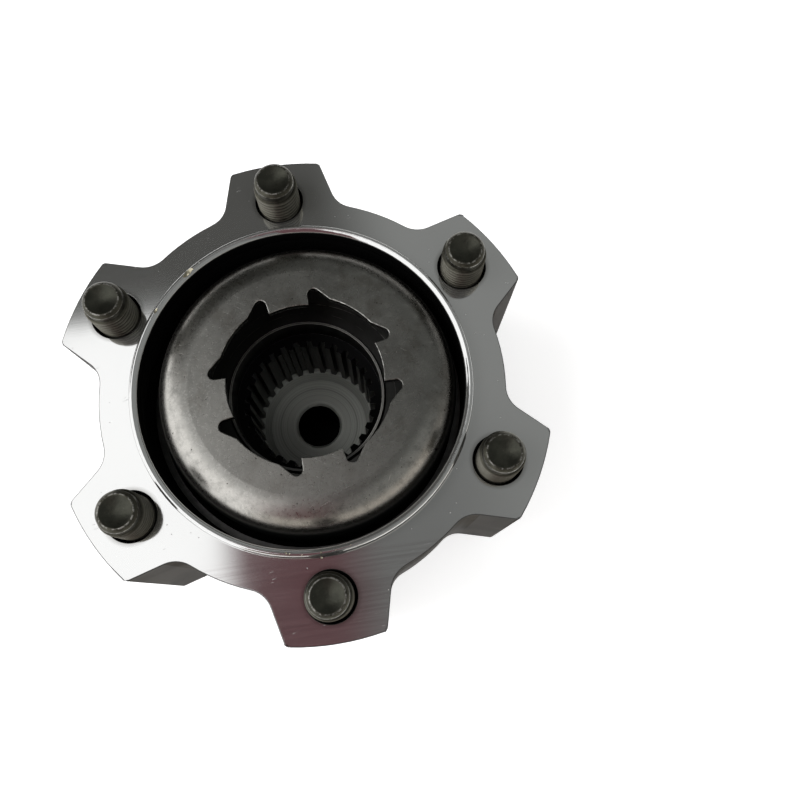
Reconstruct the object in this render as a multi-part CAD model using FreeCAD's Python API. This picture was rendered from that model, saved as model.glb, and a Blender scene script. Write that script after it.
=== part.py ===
"""Automatic locking hub for the front wheel of a 4x4, with its locking mechanism inside.

The frame is in millimetres. The origin is on the axis, in the mounting face that bolts to the wheel hub.
+Z points out of that face, towards the axle, and the front cap is at the lowest Z.
"""
import FreeCAD
import Part

import math
import os
from collections import namedtuple

V = FreeCAD.Vector
ORIGIN = V(0, 0, 0)
AXIS = V(0, 0, 1)
OVERCUT = 1.0          # how far a cutting tool runs past the face that it cuts
JOIN = 0.1             # how far one shape runs into the next before they are fused
CLOSE = 1e-3           # how near a measured place must be to the one looked for

# Clearances
RUNNING_GAP = 0.3      # between pieces that pass each other freely
FACE_GAP = 0.1         # axial play at a thrust face
JOURNAL_GAP = 0.05     # radial play of a turning fit
CAM_GAP = 0.08         # radial play of the cam ring and of its followers
SEAT_GAP = 0.02        # radial play of a fixed seat
SPLINE_GAP = 0.2       # all round a sliding spline tooth
DOG_GAP = 0.3          # all round a locking dog

# Drive hub, from the axle splines out
AXLE_SPLINE_COUNT = 30
AXLE_SPLINE_R = 14.5
AXLE_SPLINE_HEIGHT = 1.25
COUNTERBORE_STEP = 1.65
COUNTERBORE_DEPTH = 6.0
AXLE_LEAD_IN = 1.2
RIM_WIDTH = 0.5
RIM_HEIGHT = 1.0
RIM_FLARE = 0.5        # how much wider the rim is at its foot
HUB_WALL = 3.55        # between the axle splines and the slide splines
SLIDE_SPLINE_COUNT = 24
SLIDE_SPLINE_HEIGHT = 1.2
COLLAR_Z = -8.5
COLLAR_WIDTH = 2.4
COLLAR_HEIGHT = 3.5
COLLAR_STEP_WIDTH = 2.3
COLLAR_STEP = 0.25
BARREL_LAND = 0.8      # plain barrel between the cam's snap ring and the slide splines
FLOOR_THICKNESS = 3.9
FLOOR_STEP_HEIGHT = 1.6
FLOOR_STEP_WIDTH = 0.1
FLOOR_CONE_WIDTH = 1.56
FLOOR_HOLE_R = 5.65
FLOOR_HOLE_CHAMFER = 0.55
NOSE_R = 9.0
NOSE_END_LAND = 1.2

# Cam ring, its snap ring and the drag ring
CAM_WALL = 3.02
CAM_TOP_Z = -1.0
CAM_FLANGE_THICKNESS = 2.5
CAM_LIP_THICKNESS = 2.0
CAM_SNAP_THICKNESS = 1.2
CAM_SNAP_STANDOUT = 1.8
CAM_SNAP_DEPTH = 1.1
CAM_SNAP_SPLIT = 6.0
CAM_APEX_DROP = 1.2    # from the top of the cam's lip down to its ramps' apex
CAM_FACE_CLEAR = 0.6   # from the cam ring down to the free slide gear
CAM_TURN = 35.0        # degrees from free to locked
SLIDE_TRAVEL = 7.0
LUG_COUNT = 3
LUG_HALF_ANGLE = 10.0
HELIX_POINTS = 8
CAM_RIB_WIDTH = 1.2
CAM_RIB_THICKNESS = 1.0
CAM_RIB_LAND = 0.8     # from the rib down to the ramps' apex
DRAG_RING_THICKNESS = 1.6
DRAG_LINING_THICKNESS = 1.9
DRAG_GAP = 0.4         # from the lining to the cup's wall on its near side
DRAG_SPLIT_ANGLE = 16.0
DRAG_LUG_ANGLE = 12.0

# Slide gear, return spring and spring seat
SLIDE_GEAR_HEIGHT = 9.5
SLEEVE_WALL = 1.7
SPRING_SPACE = 3.0
GEAR_RIM_WALL = 1.7
SLIDE_WEB = 3.5
DOG_COUNT = 36
DOG_HEIGHT = 1.7
SPRING_WIRE_R = 0.85
SPRING_TURNS = 3.5
SPRING_SIDES = 8
SPRING_STEPS = 14      # points in each turn
SEAT_CLEAR = 1.6       # from the locked slide gear down to the spring seat
SEAT_THICKNESS = 1.4
SEAT_SNAP_THICKNESS = 1.2
SEAT_SNAP_STANDOUT = 1.2
SEAT_SNAP_DEPTH = 0.7
SEAT_SNAP_SPLIT = 6.0
SEAT_SNAP_LAND = 0.3   # barrel left below the seat's snap ring

# Lock ring and its snap ring
LOCK_RING_WALL = 4.6
LOCK_RING_CLEAR = 0.6  # from the free slide gear down to the lock ring
LOCK_SNAP_THICKNESS = 1.3
LOCK_SNAP_WIDTH = 2.2
LOCK_SNAP_DEPTH = 1.4
LOCK_SNAP_SPLIT = 8.0
LOCK_SHOULDER_WIDTH = 3.0
LOCK_SHOULDER_HEIGHT = 2.0

# Bearing plate, bush, thrust washer and nose ring
THRUST_THICKNESS = 1.0
THRUST_WIDTH = 7.0
BUSH_WALL = 2.0
PLATE_STEP = 0.5
PLATE_THICKNESS = 2.8
PLATE_BOSS_WALL = 2.45
PLATE_BOSS_DEPTH = 4.0
PLATE_HOLE_COUNT = 6
PLATE_HOLE_R = 4.0
NOSE_RING_THICKNESS = 1.2
NOSE_RING_STANDOUT = 2.2
NOSE_RING_DEPTH = 0.9
NOSE_RING_SPLIT = 4.0

# Brake cup and the ring that keeps it in the body
CUP_FLOAT = V(0.96, -0.28, 0)   # where the loose cup's own axis lies
CUP_WALL = 2.0
CUP_TOP_Z = 6.0
CUP_CORNER_R = 8.0
CUP_FOOT_WIDTH = 2.2   # how far the foot stands out of the cup's side
CUP_FOOT_BEND = 1.0
CUP_FOOT_Z = -14.1     # upper face of the foot flange
KEY_COUNT = 4
FIRST_KEY = 5.3
KEY_R = 17.05          # edge of the four tabs that stand furthest in
KEY_HALF_ANGLE = 15.1
NOTCH_DEPTH = 3.95     # from the tabs' edge out to the ends of the notches
NOTCH_ANGLE = 17.8     # from the tab's centre line
NOTCH_END_R = 1.35
WIDE_STEP = 2.05       # from the tabs' edge out to the edge between two pairs of notches
WIDE_START = 29.0
CUP_RING_THICKNESS = 1.6
CUP_RING_DEPTH = 0.8   # how far the ring sits in its groove
CUP_RING_SPLIT = 12.0

# Body
MOUTH_GAP = 2.73       # all round the cup in the mouth, when it is centred
MOUTH_CHAMFER = 0.75
SPIGOT_WALL = 1.72
SPIGOT_HEIGHT = 3.5
SPIGOT_CHAMFER = 0.4
LOBE_COUNT = 6
FIRST_LOBE = 30.0      # angle of the first lobe from +X
LOBE_TIP_HALF_WIDTH = 10.6
LOBE_FLARE = 14.0      # degrees that each flank leans away from the lobe's centre line
LOBE_ROOT_FILLET = 6.0
LOBE_TIP_ROUND = 1.2
VALLEY_WALL = 7.7      # from the bottom of the cup ring's groove to the valleys
BOLT_WALL = 3.0        # from the bottom of that groove to the bolt holes
BOLT_EDGE = 9.6        # from the bolt circle to the lobes' tips
BODY_FRONT_CHAMFER = 0.8

# Flange bolts and their washers
BOLT_R = 5.0
BOLT_CLEARANCE = 0.5
BOLT_STANDOUT = 9.75   # from the mounting face to the bolt's tip
BOLT_SHANK_STEP = 0.4  # how much thinner the shank is than the thread, in radius
BOLT_NECK_STEP = 0.6   # the same for the plain neck at the tip
BOLT_NECK_LENGTH = 2.2
BOLT_TIP_CHAMFER = 0.7
BOLT_DIMPLE_EDGE = 0.4 # flat ring round the dimple in the bolt's tip
BOLT_DIMPLE_DEPTH = 0.9
BOLT_HEAD_FLATS = 16.0
BOLT_HEAD_HEIGHT = 6.4
WASHER_R = 9.0
WASHER_THICKNESS = 2.2
WASHER_SPLIT = 1.5

# Cap, its ring and screws
CAP_CLEAR = 0.4        # from the bolts' washers to the cap's flange
CAP_FLANGE_THICKNESS = 3.5
CAP_DOME_STEP = 4.0    # from the bearing plate's edge in to the dome
CAP_TAPER = 1.5
CAP_DEPTH = 14.0       # from the body's front face to the cap's flat front
CAP_WALL = 3.0
CAP_CORNER_R = 3.0
CAP_DISH_R = 17.0
CAP_DISH_DEPTH = 0.8
EAR_COUNT = 6
EAR_STEP = 1.6         # from the flange's edge out to the screws
EAR_R = 4.8
SCREW_R = 2.0
SCREW_CLEARANCE = 0.2
SCREW_HEAD_R = 3.5
SCREW_HEAD_HEIGHT = 4.0
SCREW_HEAD_CHAMFER = 0.4
SCREW_SOCKET_FLATS = 3.0
SCREW_SOCKET_DEPTH = 2.0
SCREW_LENGTH = 12.0
O_RING_EDGE = 1.65     # from the flange's edge in to the ring
O_RING_WIRE_R = 0.75

# Radii that follow, from the axle splines out
COUNTERBORE_R = AXLE_SPLINE_R + AXLE_SPLINE_HEIGHT + COUNTERBORE_STEP
RIM_R = COUNTERBORE_R + RIM_WIDTH
FLOOR_STEP_R = AXLE_SPLINE_R - FLOOR_STEP_WIDTH
FLOOR_R = FLOOR_STEP_R - FLOOR_CONE_WIDTH
SLIDE_SPLINE_R = AXLE_SPLINE_R + AXLE_SPLINE_HEIGHT + HUB_WALL
BARREL_R = SLIDE_SPLINE_R + SLIDE_SPLINE_HEIGHT
COLLAR_R = BARREL_R + COLLAR_WIDTH
CAM_BORE_R = COLLAR_R + CAM_GAP
CAM_R = CAM_BORE_R + CAM_WALL
CAM_RIB_R = CAM_R + CAM_RIB_WIDTH
DRAG_RING_IN_R = CAM_R + RUNNING_GAP
DRAG_RING_OUT_R = DRAG_RING_IN_R + DRAG_RING_THICKNESS
CAM_FLANGE_R = DRAG_RING_OUT_R + DRAG_LINING_THICKNESS
SLEEVE_R = BARREL_R + SLEEVE_WALL
SPRING_SPACE_R = SLEEVE_R + SPRING_SPACE
SPRING_R = SLEEVE_R + SPRING_SPACE / 2
DOG_R = SPRING_SPACE_R + GEAR_RIM_WALL
SEAT_GROOVE_R = SLIDE_SPLINE_R + SLIDE_SPLINE_HEIGHT / 2 - SEAT_SNAP_DEPTH
LOCK_RING_R = DOG_R + DOG_HEIGHT + DOG_GAP + LOCK_RING_WALL
LOCK_SHOULDER_R = LOCK_RING_R - LOCK_SHOULDER_WIDTH
PLATE_R = LOCK_RING_R + PLATE_STEP
BUSH_R = NOSE_R + JOURNAL_GAP + BUSH_WALL
PLATE_BOSS_R = BUSH_R + PLATE_BOSS_WALL
PLATE_HOLE_CIRCLE_R = (PLATE_BOSS_R + LOCK_SHOULDER_R) / 2
CUP_R = CAM_FLANGE_R + DRAG_GAP + CUP_FLOAT.Length + CUP_WALL
CUP_FOOT_R = CUP_R + CUP_FOOT_WIDTH
CUP_RING_IN_R = CUP_R + CUP_FLOAT.Length + RUNNING_GAP
CHAMBER_R = CUP_FOOT_R + CUP_FLOAT.Length + RUNNING_GAP
CUP_GROOVE_R = CHAMBER_R + CUP_RING_DEPTH
MOUTH_R = CUP_R + MOUTH_GAP
SPIGOT_R = MOUTH_R + SPIGOT_WALL
VALLEY_R = CUP_GROOVE_R + VALLEY_WALL
BOLT_HOLE_R = BOLT_R + BOLT_CLEARANCE
BOLT_CIRCLE_R = CUP_GROOVE_R + BOLT_WALL + BOLT_HOLE_R
LOBE_TIP_R = BOLT_CIRCLE_R + BOLT_EDGE
CAP_FLANGE_R = BOLT_CIRCLE_R - WASHER_R - CAP_CLEAR
CAP_DOME_R = PLATE_R - CAP_DOME_STEP
CAP_FRONT_R = CAP_DOME_R - CAP_TAPER
SCREW_CIRCLE_R = CAP_FLANGE_R + EAR_STEP
O_RING_R = CAP_FLANGE_R - O_RING_EDGE

# Heights that follow, from the mounting face down
RIM_Z = COLLAR_Z + RIM_HEIGHT
COLLAR_BOTTOM_Z = COLLAR_Z - COLLAR_HEIGHT
AXLE_SPLINE_TOP_Z = COLLAR_Z - COUNTERBORE_DEPTH
CAM_LIP_TOP_Z = COLLAR_BOTTOM_Z - RUNNING_GAP
CAM_LIP_BOTTOM_Z = CAM_LIP_TOP_Z - CAM_LIP_THICKNESS
CAM_SNAP_TOP_Z = CAM_LIP_BOTTOM_Z - FACE_GAP
CAM_SNAP_BOTTOM_Z = CAM_SNAP_TOP_Z - CAM_SNAP_THICKNESS
SLIDE_SPLINE_TOP_Z = CAM_SNAP_BOTTOM_Z - BARREL_LAND
CAM_SLOPE = SLIDE_TRAVEL / CAM_TURN
RAMP_HALF_SPAN = CAM_TURN + LUG_HALF_ANGLE
CAM_APEX_Z = CAM_LIP_TOP_Z - CAM_APEX_DROP
CAM_BOTTOM_Z = CAM_APEX_Z - CAM_SLOPE * RAMP_HALF_SPAN
CAM_RIB_BOTTOM_Z = CAM_APEX_Z + CAM_RIB_LAND
CAM_RIB_TOP_Z = CAM_RIB_BOTTOM_Z + CAM_RIB_THICKNESS
DRAG_TOP_Z = CAM_TOP_Z - CAM_FLANGE_THICKNESS - FACE_GAP
DRAG_BOTTOM_Z = CAM_RIB_TOP_Z + FACE_GAP
SLIDE_TOP_Z = CAM_BOTTOM_Z - CAM_FACE_CLEAR
SLIDE_BOTTOM_Z = SLIDE_TOP_Z - SLIDE_GEAR_HEIGHT
LOCK_RING_TOP_Z = SLIDE_BOTTOM_Z - LOCK_RING_CLEAR
SEAT_TOP_Z = SLIDE_BOTTOM_Z - SLIDE_TRAVEL - SEAT_CLEAR
SEAT_SNAP_TOP_Z = SEAT_TOP_Z - SEAT_THICKNESS
SEAT_SNAP_BOTTOM_Z = SEAT_SNAP_TOP_Z - SEAT_SNAP_THICKNESS
HUB_END_Z = SEAT_SNAP_BOTTOM_Z - SEAT_SNAP_LAND
FLOOR_Z = HUB_END_Z + FLOOR_THICKNESS
AXLE_SPLINE_BOTTOM_Z = FLOOR_Z + FLOOR_STEP_HEIGHT
PLATE_TOP_Z = HUB_END_Z - FACE_GAP - THRUST_THICKNESS
LOCK_RING_BOTTOM_Z = PLATE_TOP_Z + LOCK_SHOULDER_HEIGHT
BODY_FRONT_Z = PLATE_TOP_Z - PLATE_THICKNESS
BODY_DEPTH = -BODY_FRONT_Z
CUP_RING_BOTTOM_Z = CUP_FOOT_Z + RUNNING_GAP
CUP_RING_TOP_Z = CUP_RING_BOTTOM_Z + CUP_RING_THICKNESS
LEDGE_Z = CUP_FOOT_Z - CUP_WALL - RUNNING_GAP
WASHER_BOTTOM_Z = BODY_FRONT_Z - WASHER_THICKNESS
BOSS_BOTTOM_Z = BODY_FRONT_Z - PLATE_BOSS_DEPTH
NOSE_RING_TOP_Z = BOSS_BOTTOM_Z - RUNNING_GAP
NOSE_RING_BOTTOM_Z = NOSE_RING_TOP_Z - NOSE_RING_THICKNESS
NOSE_END_Z = NOSE_RING_BOTTOM_Z - NOSE_END_LAND
CAP_FLANGE_BOTTOM_Z = BODY_FRONT_Z - CAP_FLANGE_THICKNESS
CAP_FRONT_Z = BODY_FRONT_Z - CAP_DEPTH

Teeth = namedtuple("Teeth", "count root_r tip_r root_half tip_half")
AXLE_TEETH = Teeth(AXLE_SPLINE_COUNT, AXLE_SPLINE_R, AXLE_SPLINE_R + AXLE_SPLINE_HEIGHT, 3.6, 2.4)
SLIDE_TEETH = Teeth(SLIDE_SPLINE_COUNT, SLIDE_SPLINE_R, BARREL_R, 4.2, 3.4)
DOG_TEETH = Teeth(DOG_COUNT, DOG_R, DOG_R + DOG_HEIGHT, 2.6, 1.9)


def polar(radius, degrees, z=0.0):
    """Point at a radius and an angle from +X."""
    angle = math.radians(degrees)
    return V(radius * math.cos(angle), radius * math.sin(angle), z)


def line(start, end):
    return Part.LineSegment(start, end).toShape()


def arc(radius, start, end):
    """Arc about the axis between two angles."""
    middle = (start + end) / 2
    return Part.Arc(polar(radius, start), polar(radius, middle), polar(radius, end)).toShape()


def section_arc(centre_r, centre_z, radius, start, end):
    """Arc in the plane of radius and height, with angles from the outward direction."""
    points = []
    for degrees in (start, (start + end) / 2, end):
        angle = math.radians(degrees)
        points.append(V(centre_r + radius * math.cos(angle), 0, centre_z + radius * math.sin(angle)))
    return Part.Arc(*points).toShape()


def turned(outline, degrees=360.0):
    """Solid turned about the axis from a closed list of (radius, height) points."""
    points = [V(radius, 0, z) for radius, z in outline]
    face = Part.Face(Part.makePolygon(points + points[:1]))
    return face.revolve(ORIGIN, AXIS, degrees)


def ring(inner_r, outer_r, top, bottom):
    return turned([(inner_r, top), (outer_r, top), (outer_r, bottom), (inner_r, bottom)])


def rod(radius, top, bottom, place=ORIGIN):
    return Part.makeCylinder(radius, top - bottom, V(place.x, place.y, bottom))


def sector(inner_r, outer_r, top, bottom, start, end):
    """Part of a ring between two angles."""
    outline = [(inner_r, top), (outer_r, top), (outer_r, bottom), (inner_r, bottom)]
    return spun(turned(outline, end - start), start)


def spun(shape, degrees):
    """Copy of a shape turned about the axis."""
    copy = shape.copy()
    copy.rotate(ORIGIN, AXIS, degrees)
    return copy


def spaced(shape, count, first=0.0):
    """Copies of a shape, evenly spaced about the axis."""
    return [spun(shape, first + 360.0 * index / count) for index in range(count)]


def hexagon(flats, top, bottom, place=ORIGIN):
    """Upright hexagonal prism with a given size across its flats."""
    corner_r = flats / math.sqrt(3)
    corners = [polar(corner_r, 60.0 * index, bottom) for index in range(6)]
    prism = Part.Face(Part.makePolygon(corners + corners[:1])).extrude(V(0, 0, top - bottom))
    prism.translate(V(place.x, place.y, 0))
    return prism


def grown(teeth, gap):
    """The same teeth, larger by a gap all round: the space that they slide in."""
    return Teeth(
        teeth.count,
        teeth.root_r + gap,
        teeth.tip_r + gap,
        teeth.root_half + math.degrees(gap / teeth.root_r),
        teeth.tip_half + math.degrees(gap / teeth.tip_r),
    )


def toothed(teeth, top, bottom):
    """Prism with straight-flanked teeth round it."""
    pitch = 360.0 / teeth.count
    edges = []
    for index in range(teeth.count):
        middle = index * pitch
        root_start, root_end = middle - teeth.root_half, middle + teeth.root_half
        tip_start, tip_end = middle - teeth.tip_half, middle + teeth.tip_half
        edges.append(line(polar(teeth.root_r, root_start), polar(teeth.tip_r, tip_start)))
        edges.append(arc(teeth.tip_r, tip_start, tip_end))
        edges.append(line(polar(teeth.tip_r, tip_end), polar(teeth.root_r, root_end)))
        edges.append(arc(teeth.root_r, root_end, middle + pitch - teeth.root_half))
    prism = Part.Face(Part.Wire(edges)).extrude(V(0, 0, top - bottom))
    prism.translate(V(0, 0, bottom))
    return prism


def upright_edges(shape, radius):
    """Edges parallel to the axis, at a given radius."""
    found = []
    for edge in shape.Edges:
        if len(edge.Vertexes) != 2:
            continue
        start, end = edge.Vertexes[0].Point, edge.Vertexes[1].Point
        upright = math.hypot(start.x - end.x, start.y - end.y) < CLOSE < abs(start.z - end.z)
        if upright and abs(math.hypot(start.x, start.y) - radius) < CLOSE:
            found.append(edge)
    return found


def edges_at(shape, z):
    """Edges that lie wholly at one height."""
    return [e for e in shape.Edges if abs(e.BoundBox.ZMin - z) < CLOSE and abs(e.BoundBox.ZMax - z) < CLOSE]


def lobe():
    """One bolt lobe, on +X, with its flared flanks and arc tip."""
    tip_x = math.sqrt(LOBE_TIP_R ** 2 - LOBE_TIP_HALF_WIDTH ** 2)
    lean = math.tan(math.radians(LOBE_FLARE))
    inner_x, outer_x = VALLEY_R / 2, LOBE_TIP_R + OVERCUT
    inner_half = LOBE_TIP_HALF_WIDTH + (tip_x - inner_x) * lean
    outer_half = LOBE_TIP_HALF_WIDTH - (outer_x - tip_x) * lean
    corners = [
        V(inner_x, -inner_half, BODY_FRONT_Z),
        V(outer_x, -outer_half, BODY_FRONT_Z),
        V(outer_x, outer_half, BODY_FRONT_Z),
        V(inner_x, inner_half, BODY_FRONT_Z),
    ]
    wedge = Part.Face(Part.makePolygon(corners + corners[:1])).extrude(V(0, 0, BODY_DEPTH))
    return wedge.common(spun(rod(LOBE_TIP_R, 0, BODY_FRONT_Z), 180))


def star():
    """The body's six-lobed block, with its flanks blended into the valleys."""
    core = spun(rod(VALLEY_R, 0, BODY_FRONT_Z), FIRST_LOBE)
    block = core.fuse(spaced(lobe(), LOBE_COUNT, FIRST_LOBE)).removeSplitter()
    block = block.makeFillet(LOBE_ROOT_FILLET, upright_edges(block, VALLEY_R))
    block = block.makeFillet(LOBE_TIP_ROUND, upright_edges(block, LOBE_TIP_R))
    return block.makeChamfer(BODY_FRONT_CHAMFER, edges_at(block, BODY_FRONT_Z))


def hub_body():
    """The star block with its spigot lip, stepped bore, ring grooves and bolt holes."""
    spigot = turned([
        (MOUTH_R / 2, SPIGOT_HEIGHT), (SPIGOT_R - SPIGOT_CHAMFER, SPIGOT_HEIGHT),
        (SPIGOT_R, SPIGOT_HEIGHT - SPIGOT_CHAMFER), (SPIGOT_R, 0), (MOUTH_R / 2, 0),
    ])
    snap_groove_r = LOCK_RING_R + LOCK_SNAP_DEPTH
    snap_groove_top = LOCK_RING_TOP_Z + LOCK_SNAP_THICKNESS
    bore = turned([
        (0, SPIGOT_HEIGHT + OVERCUT), (MOUTH_R + MOUTH_CHAMFER + OVERCUT, SPIGOT_HEIGHT + OVERCUT),
        (MOUTH_R, SPIGOT_HEIGHT - MOUTH_CHAMFER), (MOUTH_R, CUP_RING_TOP_Z), (CUP_GROOVE_R, CUP_RING_TOP_Z),
        (CUP_GROOVE_R, CUP_RING_BOTTOM_Z), (CHAMBER_R, CUP_RING_BOTTOM_Z),
        (CHAMBER_R, LEDGE_Z), (LOCK_RING_R, LEDGE_Z),
        (LOCK_RING_R, snap_groove_top), (snap_groove_r, snap_groove_top),
        (snap_groove_r, LOCK_RING_TOP_Z), (LOCK_RING_R, LOCK_RING_TOP_Z),
        (LOCK_RING_R, LOCK_RING_BOTTOM_Z), (LOCK_SHOULDER_R, LOCK_RING_BOTTOM_Z),
        (LOCK_SHOULDER_R, PLATE_TOP_Z), (PLATE_R, PLATE_TOP_Z),
        (PLATE_R, BODY_FRONT_Z - OVERCUT), (0, BODY_FRONT_Z - OVERCUT),
    ])
    bolt_hole = rod(BOLT_HOLE_R, OVERCUT, BODY_FRONT_Z - OVERCUT, V(BOLT_CIRCLE_R, 0, 0))
    screw_tip_z = CAP_FLANGE_BOTTOM_Z + SCREW_LENGTH
    screw_hole = rod(SCREW_R, screw_tip_z + OVERCUT, BODY_FRONT_Z - OVERCUT, V(SCREW_CIRCLE_R, 0, 0))
    cuts = [bore] + spaced(bolt_hole, LOBE_COUNT, FIRST_LOBE) + spaced(screw_hole, EAR_COUNT)
    return star().fuse(spigot).removeSplitter().cut(cuts)


def flange_bolt():
    """Hexagon bolt through a lobe: head, reduced shank, and thread and dimpled neck beyond the face."""
    head_bottom = WASHER_BOTTOM_Z - BOLT_HEAD_HEIGHT
    flat_half = BOLT_HEAD_FLATS / 2
    shank_r, neck_r = BOLT_R - BOLT_SHANK_STEP, BOLT_R - BOLT_NECK_STEP
    end_r = neck_r - BOLT_TIP_CHAMFER
    neck_z = BOLT_STANDOUT - BOLT_NECK_LENGTH
    head = hexagon(BOLT_HEAD_FLATS, WASHER_BOTTOM_Z, head_bottom)
    corner_r = BOLT_HEAD_FLATS / math.sqrt(3)
    crown = turned([
        (0, WASHER_BOTTOM_Z), (corner_r + OVERCUT, WASHER_BOTTOM_Z),
        (corner_r + OVERCUT, head_bottom + (corner_r + OVERCUT - flat_half) / 2), (flat_half, head_bottom),
        (0, head_bottom),
    ])
    shank = turned([
        (0, BOLT_STANDOUT - BOLT_DIMPLE_DEPTH), (end_r - BOLT_DIMPLE_EDGE, BOLT_STANDOUT),
        (end_r, BOLT_STANDOUT), (neck_r, BOLT_STANDOUT - BOLT_TIP_CHAMFER),
        (neck_r, neck_z), (BOLT_R, neck_z - BOLT_NECK_STEP), (BOLT_R, 0), (shank_r, -BOLT_SHANK_STEP),
        (shank_r, WASHER_BOTTOM_Z - OVERCUT), (0, WASHER_BOTTOM_Z - OVERCUT),
    ])
    bolt = head.common(crown).fuse(shank)
    bolt.translate(V(BOLT_CIRCLE_R, 0, 0))
    return bolt


def spring_washer():
    """Split washer between a bolt head and the lobe."""
    washer = ring(BOLT_R + SPLINE_GAP, WASHER_R, BODY_FRONT_Z, WASHER_BOTTOM_Z)
    split = Part.makeBox(
        WASHER_R + OVERCUT, WASHER_SPLIT, WASHER_THICKNESS + 2 * OVERCUT,
        V(0, -WASHER_SPLIT / 2, WASHER_BOTTOM_Z - OVERCUT),
    )
    washer = washer.cut(split)
    washer.translate(V(BOLT_CIRCLE_R, 0, 0))
    return washer


def tangent_point(outside, centre, radius, side):
    """Where a line from a point outside a circle touches it, on one side of the line to its centre."""
    away = outside - centre
    spread = side * math.acos(radius / away.Length)
    direction = V(away).normalize()
    turned_x = direction.x * math.cos(spread) - direction.y * math.sin(spread)
    turned_y = direction.x * math.sin(spread) + direction.y * math.cos(spread)
    return centre + V(turned_x, turned_y, 0) * radius


def notch_edges(tab_centre, side):
    """Edges from a tab's corner, round the notch beside it, to the start of the wide edge."""
    corner = polar(KEY_R, tab_centre + side * KEY_HALF_ANGLE)
    foot = polar(KEY_R + WIDE_STEP, tab_centre + side * WIDE_START)
    centre = polar(KEY_R + NOTCH_DEPTH - NOTCH_END_R, tab_centre + side * NOTCH_ANGLE)
    inner = tangent_point(corner, centre, NOTCH_END_R, side)
    outer = tangent_point(foot, centre, NOTCH_END_R, -side)
    outward = (inner + outer) * 0.5 - centre
    top = centre + outward.normalize() * NOTCH_END_R
    if (top - corner).Length < (centre - corner).Length:
        top = centre * 2 - top
    return [line(corner, inner), Part.Arc(inner, top, outer).toShape(), line(outer, foot)]


def key_opening(top, bottom):
    """Cutter for the cup's opening: four tabs, eight notches and four wide edges."""
    pitch = 360.0 / KEY_COUNT
    edges = []
    for index in range(KEY_COUNT):
        tab = FIRST_KEY + index * pitch
        edges.append(arc(KEY_R, tab - KEY_HALF_ANGLE, tab + KEY_HALF_ANGLE))
        edges += notch_edges(tab, 1)
        edges.append(arc(KEY_R + WIDE_STEP, tab + WIDE_START, tab + pitch - WIDE_START))
        edges += notch_edges(tab + pitch, -1)
    wire = Part.Wire(Part.__sortEdges__(edges))
    cutter = Part.Face(wire).extrude(V(0, 0, top - bottom))
    cutter.translate(V(0, 0, bottom))
    return cutter


def brake_cup():
    """Pressed steel cup with a large rounded corner, an out-turned foot and the keyed opening."""
    flat_r, corner_z = CUP_R - CUP_CORNER_R, CUP_TOP_Z - CUP_CORNER_R
    inner_z, inner_r = CUP_TOP_Z - CUP_WALL, CUP_R - CUP_WALL
    bend_r, bend_z = CUP_R + CUP_FOOT_BEND, CUP_FOOT_Z + CUP_FOOT_BEND
    foot_bottom = CUP_FOOT_Z - CUP_WALL
    edges = [
        line(V(0, 0, CUP_TOP_Z), V(flat_r, 0, CUP_TOP_Z)),
        section_arc(flat_r, corner_z, CUP_CORNER_R, 90, 0),
        line(V(CUP_R, 0, corner_z), V(CUP_R, 0, bend_z)),
        section_arc(bend_r, bend_z, CUP_FOOT_BEND, 180, 270),
        line(V(bend_r, 0, CUP_FOOT_Z), V(CUP_FOOT_R, 0, CUP_FOOT_Z)),
        line(V(CUP_FOOT_R, 0, CUP_FOOT_Z), V(CUP_FOOT_R, 0, foot_bottom)),
        line(V(CUP_FOOT_R, 0, foot_bottom), V(bend_r, 0, foot_bottom)),
        section_arc(bend_r, bend_z, CUP_FOOT_BEND + CUP_WALL, 270, 180),
        line(V(inner_r, 0, bend_z), V(inner_r, 0, corner_z)),
        section_arc(flat_r, corner_z, CUP_CORNER_R - CUP_WALL, 0, 90),
        line(V(flat_r, 0, inner_z), V(0, 0, inner_z)),
        line(V(0, 0, inner_z), V(0, 0, CUP_TOP_Z)),
    ]
    shell = Part.Face(Part.Wire(edges)).revolve(ORIGIN, AXIS, 360)
    cup = shell.cut(key_opening(CUP_TOP_Z + OVERCUT, inner_z - OVERCUT))
    cup.translate(CUP_FLOAT)
    return cup


def split_ring(inner_r, outer_r, top, bottom, split, at=0.0):
    """Flat ring with a straight gap cut through it at one angle."""
    gap = Part.makeBox(
        outer_r + OVERCUT, split, top - bottom + 2 * OVERCUT, V(0, -split / 2, bottom - OVERCUT),
    )
    return spun(ring(inner_r, outer_r, top, bottom).cut(gap), at)


def cup_ring():
    """C-ring in the bore's groove, over the cup's foot."""
    return split_ring(
        CUP_RING_IN_R, CUP_GROOVE_R - SEAT_GAP, CUP_RING_TOP_Z, CUP_RING_BOTTOM_Z, CUP_RING_SPLIT, FIRST_LOBE,
    )


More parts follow.
